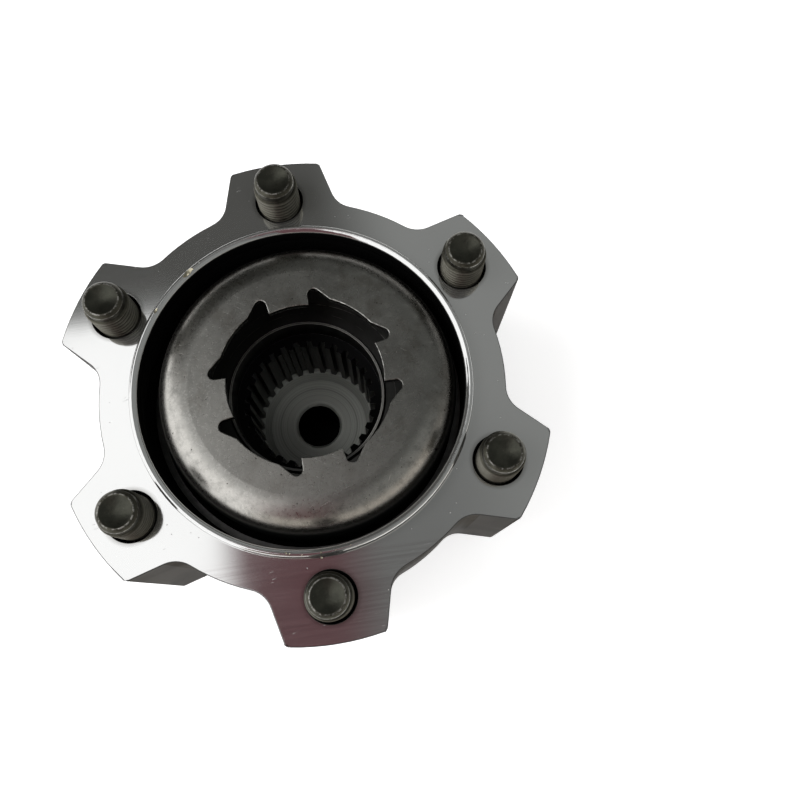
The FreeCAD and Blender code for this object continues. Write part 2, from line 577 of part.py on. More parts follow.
def drive_hub():
    """Inner hub: rimmed collar, outer slide splines, blind axle splines and the nose."""
    snap_r = BARREL_R - CAM_SNAP_DEPTH
    step_r = COLLAR_R - COLLAR_STEP_WIDTH
    nose_ring_r = NOSE_R - NOSE_RING_DEPTH
    blank = turned([
        (0, COLLAR_Z), (COUNTERBORE_R, COLLAR_Z), (COUNTERBORE_R, RIM_Z), (RIM_R, RIM_Z),
        (RIM_R + RIM_FLARE, COLLAR_Z), (step_r, COLLAR_Z),
        (step_r, COLLAR_Z - COLLAR_STEP), (COLLAR_R, COLLAR_Z - COLLAR_STEP),
        (COLLAR_R, COLLAR_BOTTOM_Z), (BARREL_R, COLLAR_BOTTOM_Z),
        (BARREL_R, CAM_SNAP_TOP_Z), (snap_r, CAM_SNAP_TOP_Z),
        (snap_r, CAM_SNAP_BOTTOM_Z), (BARREL_R, CAM_SNAP_BOTTOM_Z),
        (BARREL_R, SLIDE_SPLINE_TOP_Z), (SLIDE_SPLINE_R, SLIDE_SPLINE_TOP_Z),
        (SLIDE_SPLINE_R, HUB_END_Z), (NOSE_R, HUB_END_Z),
        (NOSE_R, NOSE_RING_TOP_Z), (nose_ring_r, NOSE_RING_TOP_Z),
        (nose_ring_r, NOSE_RING_BOTTOM_Z), (NOSE_R, NOSE_RING_BOTTOM_Z),
        (NOSE_R, NOSE_END_Z), (0, NOSE_END_Z),
    ])
    splines = toothed(SLIDE_TEETH, SLIDE_SPLINE_TOP_Z + JOIN, HUB_END_Z)
    seat_groove = ring(SEAT_GROOVE_R, COLLAR_R, SEAT_SNAP_TOP_Z, SEAT_SNAP_BOTTOM_Z)
    bore = turned([
        (0, RIM_Z + OVERCUT), (COUNTERBORE_R, RIM_Z + OVERCUT), (COUNTERBORE_R, AXLE_SPLINE_TOP_Z),
        (AXLE_SPLINE_R, AXLE_SPLINE_TOP_Z - AXLE_LEAD_IN), (AXLE_SPLINE_R, AXLE_SPLINE_BOTTOM_Z),
        (FLOOR_STEP_R, AXLE_SPLINE_BOTTOM_Z), (FLOOR_R, FLOOR_Z),
        (FLOOR_HOLE_R + FLOOR_HOLE_CHAMFER, FLOOR_Z), (FLOOR_HOLE_R, FLOOR_Z - FLOOR_HOLE_CHAMFER),
        (FLOOR_HOLE_R, NOSE_END_Z - OVERCUT), (0, NOSE_END_Z - OVERCUT),
    ])
    axle_spaces = toothed(AXLE_TEETH, AXLE_SPLINE_TOP_Z, AXLE_SPLINE_BOTTOM_Z)
    return blank.fuse(splines).cut([seat_groove, bore, axle_spaces])


def cam_snap_ring():
    """Snap ring on the drive hub, under the cam ring's lip."""
    inner_r, outer_r = BARREL_R - CAM_SNAP_DEPTH + SEAT_GAP, BARREL_R + CAM_SNAP_STANDOUT
    return split_ring(inner_r, outer_r, CAM_SNAP_TOP_Z, CAM_SNAP_BOTTOM_Z, CAM_SNAP_SPLIT)


def ramp_prism(apex_z, half_span, inner_r, outer_r, drop):
    """Solid under a roof that falls both ways from its ridge on +X, along the cam's helix."""
    halves = []
    for side in (-1, 1):
        curves = []
        for radius in (inner_r, outer_r):
            steps = [half_span * index / (HELIX_POINTS - 1) for index in range(HELIX_POINTS)]
            points = [polar(radius, side * step, apex_z - CAM_SLOPE * step) for step in steps]
            curve = Part.BSplineCurve()
            curve.interpolate(points)
            curves.append(curve.toShape())
        halves.append(Part.makeRuledSurface(curves[0], curves[1]).extrude(V(0, 0, -drop)))
    return halves


def cam_ring():
    """Cam tube with its top flange, inner lip, drag lug and three V ramps in its lower edge."""
    flange_bottom = CAM_TOP_Z - CAM_FLANGE_THICKNESS
    lip_r = BARREL_R + SPLINE_GAP
    tube = turned([
        (CAM_BORE_R, CAM_TOP_Z), (CAM_FLANGE_R, CAM_TOP_Z), (CAM_FLANGE_R, flange_bottom),
        (CAM_R, flange_bottom), (CAM_R, CAM_RIB_TOP_Z), (CAM_RIB_R, CAM_RIB_TOP_Z),
        (CAM_RIB_R, CAM_RIB_BOTTOM_Z), (CAM_R, CAM_RIB_BOTTOM_Z),
        (CAM_R, CAM_BOTTOM_Z), (CAM_BORE_R, CAM_BOTTOM_Z), (CAM_BORE_R, CAM_LIP_BOTTOM_Z),
        (lip_r, CAM_LIP_BOTTOM_Z), (lip_r, CAM_LIP_TOP_Z), (CAM_BORE_R, CAM_LIP_TOP_Z),
    ])
    half = DRAG_LUG_ANGLE / 2
    lug = sector(CAM_R - OVERCUT, CAM_FLANGE_R, flange_bottom + OVERCUT, CAM_RIB_BOTTOM_Z, -half, half)
    ramp_in, ramp_out = CAM_BORE_R - OVERCUT / 2, CAM_R + OVERCUT
    notches = []
    for part in ramp_prism(CAM_APEX_Z, RAMP_HALF_SPAN, ramp_in, ramp_out, 2 * SLIDE_TRAVEL):
        notches += spaced(part, LUG_COUNT, FIRST_LOBE)
    return tube.fuse(lug).cut(notches)


def drag_ring():
    """Split spring ring round the cam tube, with its gap at the cam's lug."""
    half = DRAG_SPLIT_ANGLE / 2
    return sector(DRAG_RING_IN_R, DRAG_RING_OUT_R, DRAG_TOP_Z, DRAG_BOTTOM_Z, half, 360 - half)


def drag_lining():
    """Friction lining bonded round the drag ring."""
    half = DRAG_SPLIT_ANGLE / 2
    return sector(DRAG_RING_OUT_R, CAM_FLANGE_R, DRAG_TOP_Z, DRAG_BOTTOM_Z, half, 360 - half)


def slide_gear():
    """Sliding gear: splined sleeve, spring recess, outer dogs and three follower lugs."""
    web_bottom = SLIDE_TOP_Z - SLIDE_WEB
    gear = toothed(DOG_TEETH, SLIDE_TOP_Z, SLIDE_BOTTOM_Z)
    spline_space = toothed(grown(SLIDE_TEETH, SPLINE_GAP), SLIDE_TOP_Z + OVERCUT, SLIDE_BOTTOM_Z - OVERCUT)
    recess = ring(SLEEVE_R, SPRING_SPACE_R, web_bottom, SLIDE_BOTTOM_Z - OVERCUT)
    lug_in, lug_out = CAM_BORE_R + CAM_GAP, CAM_R
    block = sector(lug_in, lug_out, CAM_APEX_Z, SLIDE_TOP_Z - OVERCUT, -LUG_HALF_ANGLE, LUG_HALF_ANGLE)
    lugs = []
    apex = CAM_APEX_Z - RUNNING_GAP
    roof_in, roof_out = lug_in - OVERCUT, lug_out + OVERCUT
    for half in ramp_prism(apex, 1.5 * LUG_HALF_ANGLE, roof_in, roof_out, 2 * SLIDE_GEAR_HEIGHT):
        lugs += spaced(block.common(half), LUG_COUNT, FIRST_LOBE)
    return gear.fuse(lugs).removeSplitter().cut([spline_space, recess])


def return_spring():
    """Coil spring between the slide gear's recess and the spring seat, its wire drawn with flat sides."""
    bottom = SEAT_TOP_Z + SPRING_WIRE_R + FACE_GAP
    top = SLIDE_TOP_Z - SLIDE_WEB - SPRING_WIRE_R - FACE_GAP
    rise = (top - bottom) / SPRING_TURNS
    steps = [index / SPRING_STEPS for index in range(round(SPRING_TURNS * SPRING_STEPS) + 1)]
    rails = []
    for side in range(SPRING_SIDES):
        angle = 2 * math.pi * side / SPRING_SIDES
        out, up = SPRING_WIRE_R * math.cos(angle), SPRING_WIRE_R * math.sin(angle)
        rail = Part.BSplineCurve()
        rail.interpolate([polar(SPRING_R + out, 360 * turn, bottom + up + rise * turn) for turn in steps])
        rails.append(rail)
    faces = []
    for rail, following in zip(rails, rails[1:] + rails[:1]):
        faces.append(Part.makeRuledSurface(rail.toShape(), following.toShape()))
    for end in (0, -1):
        corners = [rail.getPole(1) if end == 0 else rail.getPole(rail.NbPoles) for rail in rails]
        faces.append(Part.Face(Part.makePolygon(corners + corners[:1])))
    spring = Part.Solid(Part.makeShell(faces))
    return spring


def spring_seat():
    """Plate on the drive hub's splines that the return spring stands on."""
    disc = rod(SPRING_SPACE_R, SEAT_TOP_Z, SEAT_SNAP_TOP_Z)
    return disc.cut(toothed(grown(SLIDE_TEETH, SEAT_GAP), SEAT_TOP_Z + OVERCUT, SEAT_SNAP_TOP_Z - OVERCUT))


def seat_snap_ring():
    """Snap ring on the drive hub, under the spring seat."""
    inner_r, outer_r = SEAT_GROOVE_R + SEAT_GAP, BARREL_R + SEAT_SNAP_STANDOUT
    return split_ring(inner_r, outer_r, SEAT_SNAP_TOP_Z, SEAT_SNAP_BOTTOM_Z, SEAT_SNAP_SPLIT)


def lock_ring():
    """Ring fixed in the body, with the dog spaces that the slide gear enters."""
    disc = rod(LOCK_RING_R - SEAT_GAP, LOCK_RING_TOP_Z, LOCK_RING_BOTTOM_Z)
    spaces = toothed(grown(DOG_TEETH, DOG_GAP), LOCK_RING_TOP_Z + OVERCUT, LOCK_RING_BOTTOM_Z - OVERCUT)
    return disc.cut(spaces)


def lock_snap_ring():
    """Snap ring in the body's groove, over the lock ring."""
    outer_r = LOCK_RING_R + LOCK_SNAP_DEPTH - SEAT_GAP
    top = LOCK_RING_TOP_Z + LOCK_SNAP_THICKNESS
    return split_ring(LOCK_RING_R - LOCK_SNAP_WIDTH, outer_r, top, LOCK_RING_TOP_Z, LOCK_SNAP_SPLIT)


def bearing_plate():
    """Plate in the body's front, with the boss that holds the bush."""
    plate = turned([
        (BUSH_R, PLATE_TOP_Z), (PLATE_R - SEAT_GAP, PLATE_TOP_Z), (PLATE_R - SEAT_GAP, BODY_FRONT_Z),
        (PLATE_BOSS_R, BODY_FRONT_Z), (PLATE_BOSS_R, BOSS_BOTTOM_Z), (BUSH_R, BOSS_BOTTOM_Z),
    ])
    place = V(PLATE_HOLE_CIRCLE_R, 0, 0)
    hole = rod(PLATE_HOLE_R, PLATE_TOP_Z + OVERCUT, BODY_FRONT_Z - OVERCUT, place)
    return plate.cut(spaced(hole, PLATE_HOLE_COUNT, FIRST_LOBE))


def front_bush():
    """Bronze bush in the bearing plate, round the drive hub's nose."""
    return ring(NOSE_R + JOURNAL_GAP, BUSH_R - SEAT_GAP, PLATE_TOP_Z, BOSS_BOTTOM_Z)


def thrust_washer():
    """Washer between the drive hub's end and the bearing plate."""
    inner_r = NOSE_R + JOURNAL_GAP
    return ring(inner_r, inner_r + THRUST_WIDTH, PLATE_TOP_Z + THRUST_THICKNESS, PLATE_TOP_Z)


def nose_snap_ring():
    """Snap ring on the nose, under the bearing plate's boss."""
    inner_r = NOSE_R - NOSE_RING_DEPTH + SEAT_GAP
    outer_r = NOSE_R + NOSE_RING_STANDOUT
    return split_ring(inner_r, outer_r, NOSE_RING_TOP_Z, NOSE_RING_BOTTOM_Z, NOSE_RING_SPLIT)


def cap():
    """Front cap: flange with six screw ears, tapered dome and a shallow dish in its flat front."""
    flange = rod(CAP_FLANGE_R, BODY_FRONT_Z, CAP_FLANGE_BOTTOM_Z)
    ear = rod(EAR_R, BODY_FRONT_Z, CAP_FLANGE_BOTTOM_Z, V(SCREW_CIRCLE_R, 0, 0))
    dome = turned([
        (0, CAP_FLANGE_BOTTOM_Z + OVERCUT), (CAP_DOME_R, CAP_FLANGE_BOTTOM_Z + OVERCUT),
        (CAP_DOME_R, CAP_FLANGE_BOTTOM_Z), (CAP_FRONT_R, CAP_FRONT_Z), (0, CAP_FRONT_Z),
    ])
    dome = dome.makeFillet(CAP_CORNER_R, edges_at(dome, CAP_FRONT_Z))
    front_inside_r = CAP_FRONT_R - CAP_WALL
    cavity = turned([
        (0, BODY_FRONT_Z + OVERCUT), (CAP_DOME_R - CAP_WALL, BODY_FRONT_Z + OVERCUT),
        (CAP_DOME_R - CAP_WALL, CAP_FLANGE_BOTTOM_Z), (front_inside_r, CAP_FRONT_Z + 2 * CAP_WALL),
        (front_inside_r - CAP_WALL, CAP_FRONT_Z + CAP_WALL), (0, CAP_FRONT_Z + CAP_WALL),
    ])
    dish = rod(CAP_DISH_R, CAP_FRONT_Z + CAP_DISH_DEPTH, CAP_FRONT_Z - OVERCUT)
    groove_half = O_RING_WIRE_R + SEAT_GAP
    groove = ring(O_RING_R - groove_half, O_RING_R + groove_half, BODY_FRONT_Z + OVERCUT,
                  BODY_FRONT_Z - 2 * O_RING_WIRE_R)
    place = V(SCREW_CIRCLE_R, 0, 0)
    hole = rod(SCREW_R + SCREW_CLEARANCE, BODY_FRONT_Z + OVERCUT, CAP_FLANGE_BOTTOM_Z - OVERCUT, place)
    shell = flange.fuse(spaced(ear, EAR_COUNT) + [dome]).removeSplitter()
    return shell.cut([cavity, dish, groove] + spaced(hole, EAR_COUNT))


def cap_o_ring():
    """Sealing ring in the cap's flange, against the body's front face."""
    return Part.makeTorus(O_RING_R, O_RING_WIRE_R, V(0, 0, BODY_FRONT_Z - O_RING_WIRE_R))


def cap_screw():
    """Socket head screw through a cap ear."""
    head_bottom = CAP_FLANGE_BOTTOM_Z - SCREW_HEAD_HEIGHT
    tip_z = CAP_FLANGE_BOTTOM_Z + SCREW_LENGTH
    head = rod(SCREW_HEAD_R, CAP_FLANGE_BOTTOM_Z, head_bottom)
    head = head.makeChamfer(SCREW_HEAD_CHAMFER, edges_at(head, head_bottom))
    socket = hexagon(SCREW_SOCKET_FLATS, head_bottom + SCREW_SOCKET_DEPTH, head_bottom - OVERCUT)
    screw = head.fuse(rod(SCREW_R - SEAT_GAP, tip_z, CAP_FLANGE_BOTTOM_Z)).cut(socket)
    screw.translate(V(SCREW_CIRCLE_R, 0, 0))
    return screw


def numbered(name, shape, count, first=0.0):
    """Copies about the axis, each under its own numbered name."""
    return {f"{name}_{index + 1}": copy for index, copy in enumerate(spaced(shape, count, first))}


def pieces():
    """Every piece of the hub by name."""
    found = {
        "hub_body": hub_body(),
        "brake_cup": brake_cup(),
        "cup_ring": cup_ring(),
        "drive_hub": drive_hub(),
        "cam_ring": cam_ring(),
        "cam_snap_ring": cam_snap_ring(),
        "drag_ring": drag_ring(),
        "drag_lining": drag_lining(),
        "slide_gear": slide_gear(),
        "return_spring": return_spring(),
        "spring_seat": spring_seat(),
        "seat_snap_ring": seat_snap_ring(),
        "lock_ring": lock_ring(),
        "lock_snap_ring": lock_snap_ring(),
        "bearing_plate": bearing_plate(),
        "front_bush": front_bush(),
        "thrust_washer": thrust_washer(),
        "nose_snap_ring": nose_snap_ring(),
        "cap": cap(),
        "cap_o_ring": cap_o_ring(),
    }
    found.update(numbered("flange_bolt", flange_bolt(), LOBE_COUNT, FIRST_LOBE))
    found.update(numbered("spring_washer", spring_washer(), LOBE_COUNT, FIRST_LOBE))
    found.update(numbered("cap_screw", cap_screw(), EAR_COUNT))
    return found


def main():
    os.makedirs("parts", exist_ok=True)
    for name, shape in pieces().items():
        shape.exportStep(f"parts/{name}.step")
        print(name, "solids", len(shape.Solids), "valid", shape.isValid(), "volume", round(shape.Volume, 1))


main()
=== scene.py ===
"""Automatic locking hub: its metals, bolt threads, grease and swarf, and the studio that it stands in."""
import math
import random

import bmesh
import bpy
from mathutils import Matrix, Vector


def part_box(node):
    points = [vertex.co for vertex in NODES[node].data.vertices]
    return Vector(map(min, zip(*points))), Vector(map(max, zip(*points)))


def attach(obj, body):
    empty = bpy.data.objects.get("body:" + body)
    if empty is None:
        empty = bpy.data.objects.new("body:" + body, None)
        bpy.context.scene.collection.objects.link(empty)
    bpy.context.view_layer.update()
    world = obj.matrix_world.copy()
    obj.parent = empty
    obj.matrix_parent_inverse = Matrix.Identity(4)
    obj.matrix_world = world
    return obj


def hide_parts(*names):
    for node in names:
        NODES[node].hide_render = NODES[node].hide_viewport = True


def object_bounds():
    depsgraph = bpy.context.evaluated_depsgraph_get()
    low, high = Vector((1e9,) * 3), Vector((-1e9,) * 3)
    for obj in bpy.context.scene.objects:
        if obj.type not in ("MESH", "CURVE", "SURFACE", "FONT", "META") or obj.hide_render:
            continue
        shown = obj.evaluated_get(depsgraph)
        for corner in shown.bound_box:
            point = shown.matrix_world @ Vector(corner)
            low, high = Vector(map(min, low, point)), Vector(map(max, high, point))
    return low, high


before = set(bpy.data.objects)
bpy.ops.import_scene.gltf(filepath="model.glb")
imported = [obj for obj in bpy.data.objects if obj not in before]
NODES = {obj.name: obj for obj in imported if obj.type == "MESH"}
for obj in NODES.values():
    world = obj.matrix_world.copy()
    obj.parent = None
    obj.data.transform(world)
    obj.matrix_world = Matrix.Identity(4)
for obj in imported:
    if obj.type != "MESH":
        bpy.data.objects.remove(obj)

bl_info = {
    "name": "Locking Hub Finish",
    "version": (1, 0, 0),
    "blender": (4, 5, 0),
    "location": "View3D > Sidebar > Locking Hub",
    "description": "Dresses an automatic locking hub in its metals, threads and grease, and lights it",
    "category": "Object",
}

MM = 0.001                       # metres in a millimetre
CAD_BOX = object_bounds()

# Places on the hub, in millimetres, as the frame has them
LOBE_COUNT = 6
FIRST_LOBE = 30.0
BOLT_CIRCLE_R = 46.0
BOLT_HOLE_R = 5.5
MOUTH_R = 35.93
SPIGOT_TOP = 3.5
LIP_ROUNDING = 0.75              # width of the chamfer inside the lip
LIP_SLOPE = 15.0                 # tilt of its shading, as bump height for each millimetre of radius
CUP_CENTRE = (0.96, -0.28)
CUP_TOP = 6.0
KEY_REACH = 21.6
FLOOR_TOP = -36.2
CAP_INSIDE_R = 27.0


def node_span(name):
    """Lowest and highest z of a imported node, in millimetres."""
    low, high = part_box(name)
    return low.z / MM, high.z / MM


BOLT_HEAD_BOTTOM, BOLT_TIP = node_span("flange_bolt_1")
WASHER_BOTTOM = node_span("spring_washer_1")[0]
FLOOR_Z = CAD_BOX[0].z

# The bolts' own sizes, in millimetres
BOLT_R = 4.95
THREAD_ROOT_R = 4.3
SHANK_R = 4.6
NECK_R = 4.4
NECK_LENGTH = 2.2
END_R = 3.7
DIMPLE_R = 3.3
DIMPLE_DEPTH = 0.9
THREAD_LOW = -4.0
HEAD_FLATS = 16.0

# The photograph's camera: its axes, place and lens
CAMERA_RIGHT = Vector((0.98778, -0.15538, 0.01232))
CAMERA_UP = Vector((0.14739, 0.95688, 0.25032))
CAMERA_BACK = Vector((-0.05068, -0.24544, 0.96809))
CAMERA_PLACE = Vector((0.01193, -0.04914, 0.16845))
CAMERA_LENS = 35.31

# Colours of what lies on the metal or tints it, and blacks that are painted shade in bores and holes
BORE_SHADE_BLACK = (0.012, 0.012, 0.012)
DEEP_BLACK = (0.004, 0.004, 0.004)
GRIME = (0.05, 0.045, 0.04)
DUST = (1.0, 1.0, 0.98)
EDGE_TINT = (0.35, 0.35, 0.35, 1.0)


class BodyLook(bpy.types.PropertyGroup):
    """Finish of the aluminium body and cap."""

    face_colour: bpy.props.FloatVectorProperty(
        name="Machined face", description="Colour of the machined mounting face", subtype="COLOR", size=3,
        min=0, max=1, default=(0.80, 0.80, 0.79),
    )
    # The side walls' colour is partly their duller cast finish and partly painted shade
    side_colour_and_shade: bpy.props.FloatVectorProperty(
        name="Side walls", description="Colour of the duller side walls", subtype="COLOR", size=3,
        min=0, max=1, default=(0.098, 0.091, 0.081),
    )
    face_roughness: bpy.props.FloatProperty(
        name="Face roughness", description="How blurred the face's reflections are", subtype="FACTOR",
        min=0, max=1, default=0.075,
    )
    side_roughness: bpy.props.FloatProperty(
        name="Side roughness", description="How blurred the side walls' reflections are", subtype="FACTOR",
        min=0, max=1, default=0.42,
    )


class CupLook(bpy.types.PropertyGroup):
    """Finish of the pressed brake cup."""

    steel_colour: bpy.props.FloatVectorProperty(
        name="Pressed steel", description="Colour of the cup's satin steel", subtype="COLOR", size=3,
        min=0, max=1, default=(0.315, 0.309, 0.288),
    )
    roughness: bpy.props.FloatProperty(
        name="Roughness", description="How blurred the cup's reflections are", subtype="FACTOR",
        min=0, max=1, default=0.3,
    )
    pit_depth: bpy.props.FloatProperty(
        name="Pit depth", description="Depth of the pits and scratches", subtype="DISTANCE", unit="LENGTH",
        min=0, max=0.001, default=0.00002,
    )


class DarkSteelLook(bpy.types.PropertyGroup):
    """Finish of the drive hub, the bolts and the locking pieces."""

    hub_colour: bpy.props.FloatVectorProperty(
        name="Oiled hub", description="Colour of the drive hub's oiled steel", subtype="COLOR", size=3,
        min=0, max=1, default=(0.10, 0.10, 0.095),
    )
    floor_colour: bpy.props.FloatVectorProperty(
        name="Turned floor", description="Colour of the turned floor in the splined bore", subtype="COLOR",
        size=3, min=0, max=1, default=(0.36, 0.37, 0.34),
    )
    bolt_colour: bpy.props.FloatVectorProperty(
        name="Bolt phosphate", description="Colour of the bolts' phosphate coat", subtype="COLOR", size=3,
        min=0, max=1, default=(0.085, 0.082, 0.064),
    )
    # Worn edges, and also the painted highlight on the drive hub's rim and the painted glints on the bolts'
    # ends
    worn_and_highlight_colour: bpy.props.FloatVectorProperty(
        name="Worn edge", description="Colour of edges that are rubbed bright", subtype="COLOR", size=3,
        min=0, max=1, default=(0.62, 0.61, 0.57),
    )
    thread_pitch: bpy.props.FloatProperty(
        name="Thread pitch", description="Pitch of the bolts' thread", subtype="DISTANCE", unit="LENGTH",
        min=0.0005, max=0.003, default=0.00125,
    )


class StudioLook(bpy.types.PropertyGroup):
    """The room that the metal reflects, the lamps and the floor."""

    window_colour: bpy.props.FloatVectorProperty(
        name="Window", description="Light from the left, as the metal shows it", subtype="COLOR", size=3,
        min=0, soft_max=4, default=(1.18, 1.185, 1.19),
    )
    ceiling_colour: bpy.props.FloatVectorProperty(
        name="Ceiling", description="Dark ceiling towards the top of the picture", subtype="COLOR", size=3,
        min=0, max=1, default=(0.045, 0.045, 0.041),
    )
    wall_colour: bpy.props.FloatVectorProperty(
        name="Right wall", description="Grey wall on the right", subtype="COLOR", size=3,
        min=0, max=1, default=(0.212, 0.218, 0.213),
    )
    overhead_colour: bpy.props.FloatVectorProperty(
        name="Overhead", description="Plum brown straight overhead", subtype="COLOR", size=3,
        min=0, max=1, default=(0.092, 0.031, 0.037),
    )
    corner_colour: bpy.props.FloatVectorProperty(
        name="Warm corner", description="Warm light from the low right", subtype="COLOR", size=3,
        min=0, max=1, default=(0.48, 0.45, 0.41),
    )
    lamp_power: bpy.props.FloatProperty(
        name="Lamp power", description="Power of the main soft lamp", unit="POWER",
        min=0, soft_max=100, default=5.0,
    )


class HubLook(bpy.types.PropertyGroup):
    """Everything that a user of the hub would change."""

    body: bpy.props.PointerProperty(type=BodyLook)
    cup: bpy.props.PointerProperty(type=CupLook)
    dark_steel: bpy.props.PointerProperty(type=DarkSteelLook)
    studio: bpy.props.PointerProperty(type=StudioLook)


class Value:
    """A shader socket that takes part in Python expressions."""

    def __init__(self, shader, socket):
        self.shader = shader
        self.socket = socket

    def __add__(self, other):
        return self.shader.maths("ADD", self, other)

    def __sub__(self, other):
        return self.shader.maths("SUBTRACT", self, other)

    def __rsub__(self, other):
        return self.shader.maths("SUBTRACT", other, self)

    def __mul__(self, other):
        return self.shader.maths("MULTIPLY", self, other)

    def __truediv__(self, other):
        return self.shader.maths("DIVIDE", self, other)

    def __rtruediv__(self, other):
        return self.shader.maths("DIVIDE", other, self)

    def __pow__(self, other):
        return self.shader.maths("POWER", self, other)

    def __gt__(self, other):
        return self.shader.maths("GREATER_THAN", self, other)

    def __lt__(self, other):
        return self.shader.maths("LESS_THAN", self, other)

    def __abs__(self):
        return self.shader.maths("ABSOLUTE", self)

    __radd__ = __add__
    __rmul__ = __mul__

    def rise(self, low, high):
        """0 below low and 1 above high, with a smooth step between."""
        return self.shader.add(
            "ShaderNodeMapRange", {"interpolation_type": "SMOOTHSTEP"},
            {"Value": self, "From Min": low, "From Max": high},
        )

    def near(self, middle, reach, soft):
        """1 within reach of a middle value, and 0 past a soft edge."""
        return 1 - abs(self - middle).rise(reach, reach + soft)


class Shader:
    """A node tree that is built from expressions."""

    def __init__(self, tree):
        self.tree = tree
        tree.nodes.clear()

    def add(self, kind, settings=None, sockets=None, output=0):
        """One node: its settings are set first, then the values or links of its sockets."""
        node = self.tree.nodes.new(kind)
        for name, value in (settings or {}).items():
            if name == "stops":
                self.set_stops(node.color_ramp, value)
            else:
                setattr(node, name, value)
        for name, value in (sockets or {}).items():
            if isinstance(value, Value):
                self.tree.links.new(value.socket, node.inputs[name])
            else:
                node.inputs[name].default_value = value
        return Value(self, node.outputs[output]) if node.outputs else node

    def set_stops(self, ramp, stops):
        while len(ramp.elements) < len(stops):
            ramp.elements.new(1.0)
        for element, (place, shade) in zip(ramp.elements, stops):
            element.position = place
            element.color = (shade, shade, shade, 1.0)

    def maths(self, operation, first, second=None):
        sockets = {0: first}
        if second is not None:
            sockets[1] = second
        return self.add("ShaderNodeMath", {"operation": operation}, sockets)

    def blend(self, mask, low, high, kind="MIX"):
        """Colour mixed from low to high by a mask."""
        sockets = {0: mask, 6: as_colour(low), 7: as_colour(high)}
        return self.add("ShaderNodeMix", {"data_type": "RGBA", "blend_type": kind}, sockets, 2)

    def choose(self, mask, low, high):
        """Number mixed from low to high by a mask."""
        return mask * (high - low) + low

    def vector(self, x, y, z):
        return self.add("ShaderNodeCombineXYZ", None, {"X": x, "Y": y, "Z": z})

    def noise(self, vector, scale, detail=2.0, rough=0.5):
        sockets = {"Vector": vector, "Scale": scale, "Detail": detail, "Roughness": rough}
        return self.add("ShaderNodeTexNoise", None, sockets)

    def specks(self, vector, scale, size):
        """1 in small round specks, about one in each cell, and 0 between them."""
        cells = self.add("ShaderNodeTexVoronoi", {"feature": "F1"}, {"Vector": vector, "Scale": scale})
        return 1 - cells.rise(size * 0.6, size)


def as_colour(value):
    """A colour as a socket takes it: links stay, and three numbers get an alpha."""
    return value if isinstance(value, Value) else (*value, 1.0)


class Surface(Shader):
    """A material's shader, with the place on the hub in millimetres as x, y, z and radius."""

    def __init__(self, name):
        self.material = bpy.data.materials.new(name)
        self.material.use_nodes = True
        super().__init__(self.material.node_tree)
        place = self.add("ShaderNodeTexCoord", None, None, 3)
        scaled = self.add("ShaderNodeVectorMath", {"operation": "SCALE"}, {0: place, "Scale": 1 / MM})
        self.place = scaled
        self.x, self.y, self.z = (
            self.add("ShaderNodeSeparateXYZ", None, {"Vector": scaled}, axis) for axis in range(3)
        )
        self.radius = (self.x * self.x + self.y * self.y) ** 0.5
        normal = self.add("ShaderNodeTexCoord", None, None, 1)
        self.up = self.add("ShaderNodeSeparateXYZ", None, {"Vector": normal}, 2)

    def lobe_place(self):
        """Distance from the nearest bolt's axis, in millimetres."""
        pitch = 2 * math.pi / LOBE_COUNT
        turns = self.maths("ARCTAN2", self.y, self.x) / pitch
        folded = (self.maths("FRACT", turns + LOBE_COUNT) - 0.5) * pitch
        along = self.radius * self.maths("COSINE", folded) - BOLT_CIRCLE_R
        across = self.radius * self.maths("SINE", folded)
        return (along * along + across * across) ** 0.5

    def cup_radius(self):
        """Distance from the brake cup's own axis, in millimetres."""
        x, y = self.x - CUP_CENTRE[0], self.y - CUP_CENTRE[1]
        return (x * x + y * y) ** 0.5

    def key_edge(self):
        """1 near the cup's keyed opening."""
        return self.cup_radius() < KEY_REACH

    def scratches(self, angle, spacing, length, share):
        """Fine straight marks along one direction, broken up by a coarser noise."""
        cos, sin = math.cos(math.radians(angle)), math.sin(math.radians(angle))
        along = (self.x * cos + self.y * sin) / length
        across = (self.y * cos - self.x * sin) / spacing
        lines = self.noise(self.vector(along, across, self.z), 1.0, 1.0)
        return lines.rise(1 - share, 1 - share + 0.03)

    def finish(self, colour, roughness, metallic, height=None, depth=0.0, **plain):
        """Principled shader and output. height is a bump in units of depth, in metres."""
        sockets = {"Base Color": as_colour(colour), "Roughness": roughness, "Metallic": metallic}
        if height is not None:
            sockets["Normal"] = self.add(
                "ShaderNodeBump", None, {"Strength": 1.0, "Distance": depth, "Height": height},
            )
        sockets.update({name.replace("_", " "): value for name, value in plain.items()})
        shader = self.add("ShaderNodeBsdfPrincipled", None, sockets)
        self.add("ShaderNodeOutputMaterial", None, {"Surface": shader})
        return self.material


def dress(material, *names):
    """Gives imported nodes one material."""
    for name in names:
        mesh = NODES[name].data
        mesh.materials.clear()
        mesh.materials.append(material)


def numbered(name, count=LOBE_COUNT):
    return [f"{name}_{index + 1}" for index in range(count)]


